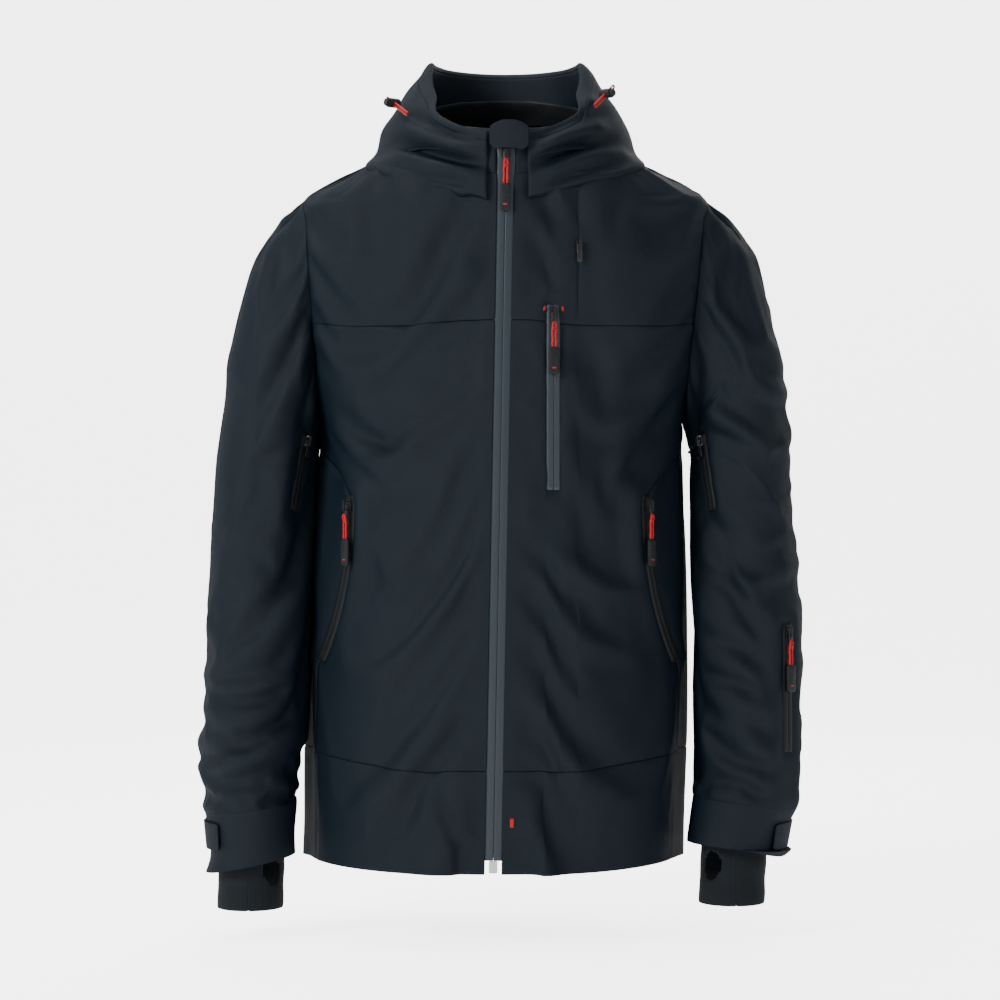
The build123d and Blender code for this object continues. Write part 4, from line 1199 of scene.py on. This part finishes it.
def build_hood(material):
    """The worn-down hood: a cowl round the collar, open under the chin, whose bag hangs behind."""
    surface = surface_of("hood", "hood_brim")
    centre = (0.0, -5.0)
    turns = np.linspace(0.2, 2 * math.pi - 0.17, HOOD_COLUMNS)
    yoke = surface_of("front_yoke_left", "front_yoke_right", "back_yoke")
    grid = np.stack([hood_profile(surface, yoke, centre, turn) for turn in turns], 1)
    grid = smoothed(grid, 3)
    normal = normals_of(grid)
    outer = ease((HOOD_RIM - 1 - np.arange(HOOD_ROWS)) / 5.0)[:, None, None]
    columns = np.arange(HOOD_COLUMNS)
    sides = ease(np.minimum(columns, columns[::-1]) / 5.0)[None, :, None]
    folded = creases(grid, normal, HOOD_FOLDS)
    folded = creases(folded, normal, HOOD_BACK_FOLDS, front=False)
    folded = rumple(folded, normal, 34, 3.0, 51)
    grid = grid + (folded - grid) * outer * (0.35 + 0.65 * sides)
    grid = smoothed(grid, 1)
    lines, chart = seam_distances(grid, [0, HOOD_COLUMNS - 1], [0, HOOD_RIM])
    rim = np.zeros((HOOD_ROWS - 1, HOOD_COLUMNS - 1), bool)
    rim[HOOD_RIM - 5 : HOOD_RIM + 2] = True
    for node, keep in (("hood", ~rim), ("hood_brim", rim)):
        faces = grid_faces(*grid.shape[:2], keep)
        sheet(node + "_cloth", grid, faces, material, chart, lines, nodes=(node,))


COLLAR_RIM, COLLAR_COLUMNS = 12, 91


def build_collar(material, lining):
    """The stand-up collar with its lining turned over the top edge."""
    centre = (0.0, -16.0)
    outside, inside = surface_of("collar"), surface_of("collar_lining", "collar")
    columns = []
    for turn in np.linspace(0.1, 2 * math.pi - 0.1, COLLAR_COLUMNS):
        way = np.array((math.sin(turn), -math.cos(turn), 0.0))
        outs, ins = [], []
        for z in np.arange(706, 812, 2.5):
            reach = outer_reach(outside, centre, turn, z)
            under = inner_reach(inside, centre, turn, z)
            if reach is not None:
                outs.append(np.array((*centre, z)) + way * reach)
            if under is not None and under < 120 and reach is not None:
                ins.insert(0, np.array((*centre, z)) + way * under)
        if len(outs) < 3 or len(ins) < 3:
            columns.append(columns[-1] if columns else None)
            continue
        outs.insert(0, outs[0] - way * 1.5 - (0, 0, 5))
        columns.append(np.concatenate([resampled(outs, COLLAR_RIM), resampled(ins, COLLAR_RIM)]))
    first = next(column for column in columns if column is not None)
    columns = [first if column is None else column for column in columns]
    grid = smoothed(np.stack(columns, 1), 2)
    normal = normals_of(grid)
    grid = rumple(grid, normal, 26, 1.6, 71, (1, 1, 0.6))
    lines, chart = seam_distances(grid, [0, COLLAR_COLUMNS - 1], [0, COLLAR_RIM])
    keep = np.zeros((2 * COLLAR_RIM - 1, COLLAR_COLUMNS - 1), bool)
    keep[: COLLAR_RIM + 1] = True
    for node, part, finish in (("collar", keep, material), ("collar_lining", ~keep, lining)):
        faces = grid_faces(*grid.shape[:2], part)
        sheet(node + "_cloth", grid, faces, finish, chart, lines, nodes=(node,))


# ---- zips ----
# Across one half of a tape and its height.
TAPE_SHAPE = ((0.0, -1.2), (0.25, -0.45), (0.9, -0.2), (3.0, -0.15), (4.9, -0.3))


def tape_half(zipper, side, edge, low, high):
    """One half of a zip's laminated tape as a grid."""
    along = np.linspace(low, high, max(int((high - low) / 6), 6))
    profile = TAPE_SHAPE + ((edge, -0.9), (edge + 1.2, -1.6))
    sunk = 1.6 if zipper.name == "vent" else 0.0
    rows = [zipper.world(side * across, along, np.full(len(along), out - sunk)) for across, out in profile]
    return np.stack(rows)


def build_zip(name, nodes, material, edge, low, high, body="root"):
    """Both tape halves of a zip as one piece, or one piece for each CAD half."""
    zipper = zips[name]
    inside = zipper.origin - 60 * zipper.z + (low + high) / 2 * zipper.y
    halves = [tape_half(zipper, side, edge, low, high) for side in (-1, 1)]
    shared = [halves] if len(nodes) == 1 else [[half] for half in halves]
    for node, parts in zip(nodes, shared):
        faces, first = [], 0
        for part in parts:
            faces.append(faces_out(part.reshape(-1, 3), grid_faces(*part.shape[:2]), inside) + first)
            first += part.shape[0] * part.shape[1]
        points = np.concatenate([part.reshape(-1, 3) for part in parts])
        chart = np.concatenate([np.stack(lengths(part), -1).reshape(-1, 2) for part in parts]).T
        sheet(node + "_tape", points, np.concatenate(faces), material, chart, None, 0.6, (node,), body)


def node_ends(name, zipper):
    """How far a CAD node reaches along a zip, down and up."""
    along = zipper.local(corners_of(name))[1]
    return along.min(), along.max()


def build_zips():
    """Every zip's tape."""
    tape, dark = MATERIALS["tape"], MATERIALS["dark_tape"]
    low, high = node_ends("main_zip_left", zips["main"])
    build_zip("main", ("main_zip_right", "main_zip_left"), tape, ZIP_EDGE, low, high)
    for name in ("chest", "sleeve") + BARE_ZIPS:
        node = name + "_zip"
        material = tape if name == "chest" else dark
        body = "forearm_left" if name == "sleeve" else "root"
        build_zip(name, (node,), material, POCKET_TAPE, *node_ends(node, zips[name]), body)
    for word in ("right", "left"):
        zipper = zips["hand_" + word]
        low, high = -zipper.run - 6, zipper.half + 4
        build_zip(zipper.name, ("hand_zip_" + word,), dark, POCKET_TAPE, low, high)


# ---- pulls ----
def tube(path, radius, sides=8):
    """A round cord along a line of points, as points and faces."""
    path = np.array(path, float)
    ways = np.gradient(path, axis=0)
    ways /= np.linalg.norm(ways, axis=1, keepdims=True)
    side = np.cross(ways[0], (0.3, 0.2, 0.93))
    points = []
    for place, way in zip(path, ways):
        side = side - way * (side @ way)
        side /= np.linalg.norm(side)
        other = np.cross(way, side)
        for step in range(sides):
            angle = 2 * math.pi * step / sides
            points.append(place + radius * (math.cos(angle) * side + math.sin(angle) * other))
    points += [path[0], path[-1]]
    faces = []
    for ring in range(len(path) - 1):
        for step in range(sides):
            a, b = ring * sides + step, ring * sides + (step + 1) % sides
            faces.append((a, b, b + sides, a + sides))
    last, count = (len(path) - 1) * sides, len(path) * sides
    for step in range(sides):
        after = (step + 1) % sides
        faces.append((count, after, step))
        faces.append((count + 1, last + step, last + after))
    return np.array(points), faces


def slab(outline, low, high, bulge=0.0):
    """A flat-sided piece from an outline in x and y, between two heights, its faces bulging a little."""
    outline = np.array(outline, float)
    middle = outline.mean(axis=0)
    rings = ((0.0, low), (0.84, low), (1.0, low + 0.35), (1.0, high - 0.35), (0.84, high), (0.0, high))
    points, faces, count = [], [], len(outline)
    for size, z in rings:
        lift = bulge * (1 - size) * (1 if z > (low + high) / 2 else -1)
        for corner in outline:
            place = middle + (corner - middle) * max(size, 0.02)
            points.append((place[0], place[1], z + lift))
    for ring in range(len(rings) - 1):
        for step in range(count):
            a, b = ring * count + step, ring * count + (step + 1) % count
            faces.append((a, b, b + count, a + count))
    return np.array(points), faces


def rounded(width, length, radius, middle_y, steps=4):
    """The outline of a rounded rectangle."""
    places = []
    for quarter, (sx, sy) in enumerate(((1, 1), (-1, 1), (-1, -1), (1, -1))):
        for step in range(steps + 1):
            angle = math.pi / 2 * (quarter + step / steps)
            places.append((
                sx * (width / 2 - radius) + radius * math.cos(angle),
                middle_y + sy * (length / 2 - radius) + radius * math.sin(angle),
            ))
    return places


def solid_piece(name, parts, nodes, body):
    """One piece from several shapes, each a (points, faces, material) of its own."""
    mesh = bpy.data.meshes.new(name)
    points, faces, slots, first, materials = [], [], [], 0, []
    for part_points, part_faces, material in parts:
        if material not in materials:
            materials.append(material)
        points += (np.array(part_points) + HEM_POINT).tolist()
        faces += [tuple(first + int(index) for index in face) for face in part_faces]
        slots += [materials.index(material)] * len(part_faces)
        first = len(points)
    mesh.from_pydata((np.array(points) * MM).tolist(), [], faces)
    for material in materials:
        mesh.materials.append(material)
    mesh.polygons.foreach_set("material_index", slots)
    mesh.polygons.foreach_set("use_smooth", [True] * len(faces))
    mesh.validate()
    piece = bpy.data.objects.new(name, mesh)
    bpy.context.collection.objects.link(piece)
    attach(piece, body)
    if nodes:
        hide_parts(*nodes)
    return piece


CORDED_TAB, BARE_TAB = 13, 17  # lengths of a pull's metal tab with and without a cord


def pull_parts(zipper, tab_length, corded):
    """A pull hanging down its zip: metal tab with a crossbar, doubled cord with a knot, and a ribbed grip."""

    def placed(shape, material):
        across, along, out = shape[0].T
        return zipper.hinge_frame(across, along, out + zipper.lift), shape[1], MATERIALS[material]

    tab = rounded(5.4, tab_length, 1.3, -tab_length / 2)
    parts = [placed(slab(tab, -0.6, 0.6), "metal")]
    bar = [(x, 0.0, 0.0) for x in np.linspace(-2.8, 2.8, 5)]
    parts.append(placed(tube(bar, 0.85), "metal"))
    if not corded:
        return parts
    eye = 3.6 - tab_length
    knot, grip = eye - 6.4, eye - 24
    for side in (-1, 1):
        path = [(side * 0.5, eye + 1.0, 0.9), (side * 1.5, eye - 1.5, 1.2), (side * 1.7, knot + 1.5, 0.3)]
        for step in range(1, 8):
            path.append((side * (1.75 + 0.25 * math.sin(step * 1.3 + side)), knot - step * 2.2, 0.0))
        path.append((side * 1.5, grip - 1.5, 0.0))
        parts.append(placed(tube(path, 1.15), "red"))
        wrap = []
        for angle in np.linspace(0, 2 * math.pi, 15):
            sine = math.sin(angle)
            wrap.append((side * 2.2 * math.cos(angle), knot + side * 0.9 + 0.5 * sine, 1.5 * sine))
        parts.append(placed(tube(wrap, 0.8), "red"))
    body = rounded(10.8, 27.6, 2.6, grip - 14.2)
    parts.append(placed(slab(body, -1.6, 1.6, 0.25), "rubber"))
    bar = rounded(4.6, 1.5, 0.6, grip - 21.5)
    parts.append(placed(slab(bar, 1.2, 1.95), "red"))
    for row in range(3):
        rib = rounded(7.4, 1.3, 0.6, grip - 5.2 - row * 3.2)
        parts.append(placed(slab(rib, 1.2, 1.95), "rubber"))
    return parts


def build_pulls():
    """Every zip's pull."""
    for name, zipper in zips.items():
        corded = name not in BARE_ZIPS
        node = name + "_pull"
        parts = pull_parts(zipper, CORDED_TAB if corded else BARE_TAB, corded)
        solid_piece(node + "_looks", parts, (node,), node)


# ---- cuffs ----
def build_inner_cuff(side, word, material):
    """A ribbed stretch cuff, whose thumb hole is where rays pass through the CAD one."""
    name = "inner_cuff_" + word
    surface = surface_of(name)
    corners = corners_of(name)
    low, high = corners[:, 2].min(), corners[:, 2].max()
    middle = (corners.min(axis=0) + corners.max(axis=0)) / 2
    count, rows = 72, 40
    grid = np.full((rows, count, 3), np.nan)
    for row, z in enumerate(np.linspace(low + 0.6, high - 0.6, rows)):
        centre = Vector((middle[0], middle[1], z))
        for column in range(count):
            turn = 2 * math.pi * column / count
            way = Vector((math.sin(turn), -math.cos(turn), 0))
            hit = surface.ray_cast(centre + way * 90, -way, 76)[0]
            if hit is not None and (hit - centre).dot(way) > 12:
                grid[row, column] = hit
    missing = np.isnan(grid[..., 0])
    order = np.arange(count)
    for row in np.flatnonzero(missing.any(axis=1) & ((~missing).sum(axis=1) > 3)):
        whole = order[~missing[row]]
        known = np.concatenate([whole - count, whole, whole + count])
        for axis in range(3):
            values = np.tile(grid[row, whole, axis], 3)
            grid[row, missing[row], axis] = np.interp(order[missing[row]], known, values)
    axis = grid.mean(axis=1, keepdims=True)
    away = grid - axis
    away /= np.linalg.norm(away, axis=-1, keepdims=True)
    rib = 0.35 * np.cos(order * math.pi)
    slack = 0.8 * np.sin(np.linspace(0, 5 * math.pi, rows))[:, None] * (0.6 + 0.4 * np.sin(order / 5.0))
    points = closed(grid + away * (rib + slack)[..., None])
    beside = np.roll(missing, -1, 1)
    hole = missing[:-1] & missing[1:] & beside[:-1] & beside[1:]
    plain_sheet(name + "_knit", points, material, 1.3, name, axis[rows // 2][0], ~hole, "forearm_" + word)


def build_cuff_tab(side, word, material):
    """A cuff's closing tab: a stiff tongue laid on the sleeve, its free corners cut off."""
    name = "cuff_tab_" + word
    surface = surface_of(name)
    corners = corners_of(name)
    low, high = corners.min(axis=0), corners.max(axis=0)
    rows, columns = 9, 19
    grid = np.empty((rows, columns, 3))
    previous = None
    for row in range(rows):
        for column in range(columns):
            y = low[1] + 0.6 + (high[1] - low[1] - 1.2) * column / (columns - 1)
            corner = max(0.0, 4.0 - (y - low[1])) if row in (0, rows - 1) else 0.0
            z = low[2] + 1.0 + (high[2] - low[2] - 2.0) * row / (rows - 1)
            z += corner * (0.5 if row == 0 else -0.5)
            hit = surface.ray_cast(Vector((side * 420, y, z)), Vector((-side, 0, 0)), 300)
            previous = np.array(hit[0]) if hit[0] is not None else previous
            grid[row, column] = previous
    normal = normals_of(grid)
    normal *= np.sign(normal[..., 0] * side).mean()
    grid = grid - normal * 0.5
    faces = faces_out(grid.reshape(-1, 3), grid_faces(rows, columns), (side * 200, grid[0, 0, 1] / 2, 30))
    lines, chart = seam_distances(grid, [0, columns - 1], [0, rows - 1])
    sheet(name + "_cloth", grid, faces, material, chart, lines, 1.5, (name,), name)


# ---- inside ----
LINING_DEPTH, BAG_DEPTH = 15.5, 11.5  # behind the face
LINING_START = 5  # the row the lining hangs down to
POCKET_BAGS = {  # first and last column and row on the torso's grid
    "chest_pocket_bag": (14, 26, 52, 74),
    "hand_pocket_bag_left": (16, 30, 18, 42),
    "hand_pocket_bag_right": (EDGES[-1] - 30, EDGES[-1] - 16, 18, 42),
}


def build_lining(torso_base, material):
    """The hanging lining, which is half as fine as the face, and the pocket bags in front of it."""
    normal = normals_of(torso_base)
    deep = rumple(torso_base - normal * LINING_DEPTH, normal, 60, 4.0, 91)
    coarse = deep[::2, ::2]
    keep = torso_cells()
    keep[:LINING_START] = False
    faces = grid_faces(*coarse.shape[:2], keep[::2, ::2][: len(coarse) - 1, : coarse.shape[1] - 1])
    nodes = ("body_lining", "storm_flap")
    sheet("body_lining_cloth", coarse, faces[:, ::-1], material, lengths(coarse), None, 0.6, nodes)
    for name, (first, last, low, high) in POCKET_BAGS.items():
        out = normal[low:high, first:last]
        patch = rumple(torso_base[low:high, first:last] - out * BAG_DEPTH, out, 30, 1.5, 13)
        plain_sheet(name + "_cloth", patch, material, 0.6, name)


SKIRT_ROWS = 14


def build_skirt(material):
    """The gathered snow skirt inside the hem."""
    corners = corners_of("powder_skirt")
    surface = surface_of("powder_skirt")
    low, high = corners[:, 2].min(), corners[:, 2].max()
    middle = (corners.min(axis=0) + corners.max(axis=0)) / 2
    columns = []
    for turn in np.linspace(0.12, 2 * math.pi - 0.12, 141):
        path = []
        for z in np.linspace(high - 1, low + 1, SKIRT_ROWS):
            reach = outer_reach(surface, middle, turn, z)
            if reach is not None:
                path.append((middle[0] + reach * math.sin(turn), middle[1] - reach * math.cos(turn), z))
        if len(path) > 2:
            columns.append(resampled(path, SKIRT_ROWS))
    grid = np.stack(columns, 1)
    normal = normals_of(grid)
    pleat = np.cos(np.arange(len(columns)) * math.pi / 3) * 1.6
    hang = np.linspace(0, 1, SKIRT_ROWS)[:, None]
    grid = grid + normal * (pleat * hang - 2.0)[..., None]
    plain_sheet("powder_skirt_cloth", grid, material, 0.6, "powder_skirt", middle)


# ---- small trims ----
def build_chin_guard(material):
    """The soft flap over the top of the front zip."""
    corners = corners_of("chin_guard")
    across, along, out = zips["main"].local(corners)
    centre = (across.min() + across.max()) / 2
    half = (across.max() - across.min()) / 2
    low, high, top = along.min(), along.max(), out.max()
    rows, columns = 13, 17
    grid = np.empty((rows, columns, 3))
    for row in range(rows):
        share = row / (rows - 1)
        width = half * math.sqrt(max(1 - max(abs(share - 0.5) * 2 - 0.55, 0) ** 2 * 3.2, 0.1))
        for column in range(columns):
            place = column / (columns - 1) * 2 - 1
            y = low + (high - low) * share - 2.0 * abs(place) ** 3
            z = top - 0.2 - 1.6 * place**2 - 1.2 * (share - 0.4) ** 2
            grid[row, column] = zips["main"].world(centre + width * place, y, z)
    lines, chart = seam_distances(grid, [0, columns - 1], [0, rows - 1])
    faces = faces_out(grid.reshape(-1, 3), grid_faces(rows, columns), (0, 0, 700))
    sheet("chin_guard_cloth", grid, faces, material, chart, lines, 1.4, ("chin_guard",))


def build_hanger(material):
    """The hanging loop: a flat woven strip bent into an arch."""
    corners = corners_of("hanger_loop")
    low, high = corners.min(axis=0), corners.max(axis=0)
    middle = (low + high) / 2
    radius = min(high[0] - low[0], high[2] - low[2]) / 2 - 1.0
    turns = np.linspace(0, 2 * math.pi, 33)
    rows = []
    for y in np.linspace(low[1] + 0.4, high[1] - 0.4, 4):
        ring = [(middle[0] + radius * math.sin(t), y, middle[2] - radius * math.cos(t)) for t in turns]
        rows.append(ring)
    plain_sheet("hanger_loop_webbing", np.array(rows), material, 1.6, "hanger_loop", middle)


TACK_X = 10.5  # the chest zip's bar tacks lie this far to each side
TAB_PLACE = (18.0, 38.0)  # the woven tab's middle, beside and above the front zip's foot


def build_trims():
    """Red bar tacks at the chest zip's head, and a small plain woven tab beside the front zip's foot."""
    chest, main = zips["chest"], zips["main"]
    parts = []
    for side in (-1, 1):
        for step in range(5):
            path = []
            for share in np.linspace(0, 1, 6):
                across = side * (TACK_X - 2.2 * share)
                stitch = chest.world(across, 4.5 + 1.5 * share, 0.35 + 0.25 * math.sin(share * 9))
                path.append(stitch + chest.y * (step - 2) * 0.75)
            parts.append((*tube(path, 0.45, 6), MATERIALS["red"]))
    solid_piece("chest_zip_bar_tacks", parts, (), "root")
    low = node_ends("main_zip_left", main)[0]
    points, faces = slab(rounded(4.0, 9.0, 0.6, 0.0), 0.0, 0.7)
    across, along = points[:, 0] + TAB_PLACE[0], points[:, 1] + low + TAB_PLACE[1]
    points = main.world(across, along, 0.4 + points[:, 2])
    solid_piece("hem_woven_tab", [(points, faces, MATERIALS["red"])], (), "root")


# ---- assembly ----
def clothe():
    """The torso, and what is cut from its cloth or joined to it."""
    base, torso = draped_torso()
    build_torso(torso, MATERIALS["shell"])
    dipped = dip_seams(torso, SEAM_COLUMNS, [HEM_ROW, YOKE_ROW])
    for side, word in ((1, "left"), (-1, "right")):
        build_sleeve(side, word, dipped, MATERIALS["shell"])
    build_hood(MATERIALS["shell"])
    build_collar(MATERIALS["shell"], MATERIALS["lining"])
    build_lining(base, MATERIALS["lining"])


FINISH_OF = {
    "main_zip_box": "silver",
    "pit_right_slider": "silver",
    "pit_left_slider": "silver",
    "hood_cords": "red",
    "hood_lock_bodies": "plastic",
    "hood_lock_button_right": "plastic",
    "hood_lock_button_left": "plastic",
}


def finish_frame_nodes():
    """Gives each CAD node that is carried as it is a finish."""
    for name, node in frame["nodes"].items():
        finish = MATERIALS[FINISH_OF.get(name, "metal" if "slider" in name else "lining")]
        node.data.materials.clear()
        node.data.materials.append(finish)


clothe()
build_zips()
build_pulls()
build_skirt(MATERIALS["lining"])
build_chin_guard(MATERIALS["shell"])
build_hanger(MATERIALS["cord"])
build_trims()
for side, word in ((1, "left"), (-1, "right")):
    build_inner_cuff(side, word, MATERIALS["knit"])
    build_cuff_tab(side, word, MATERIALS["shell"])
finish_frame_nodes()
studio()
camera()
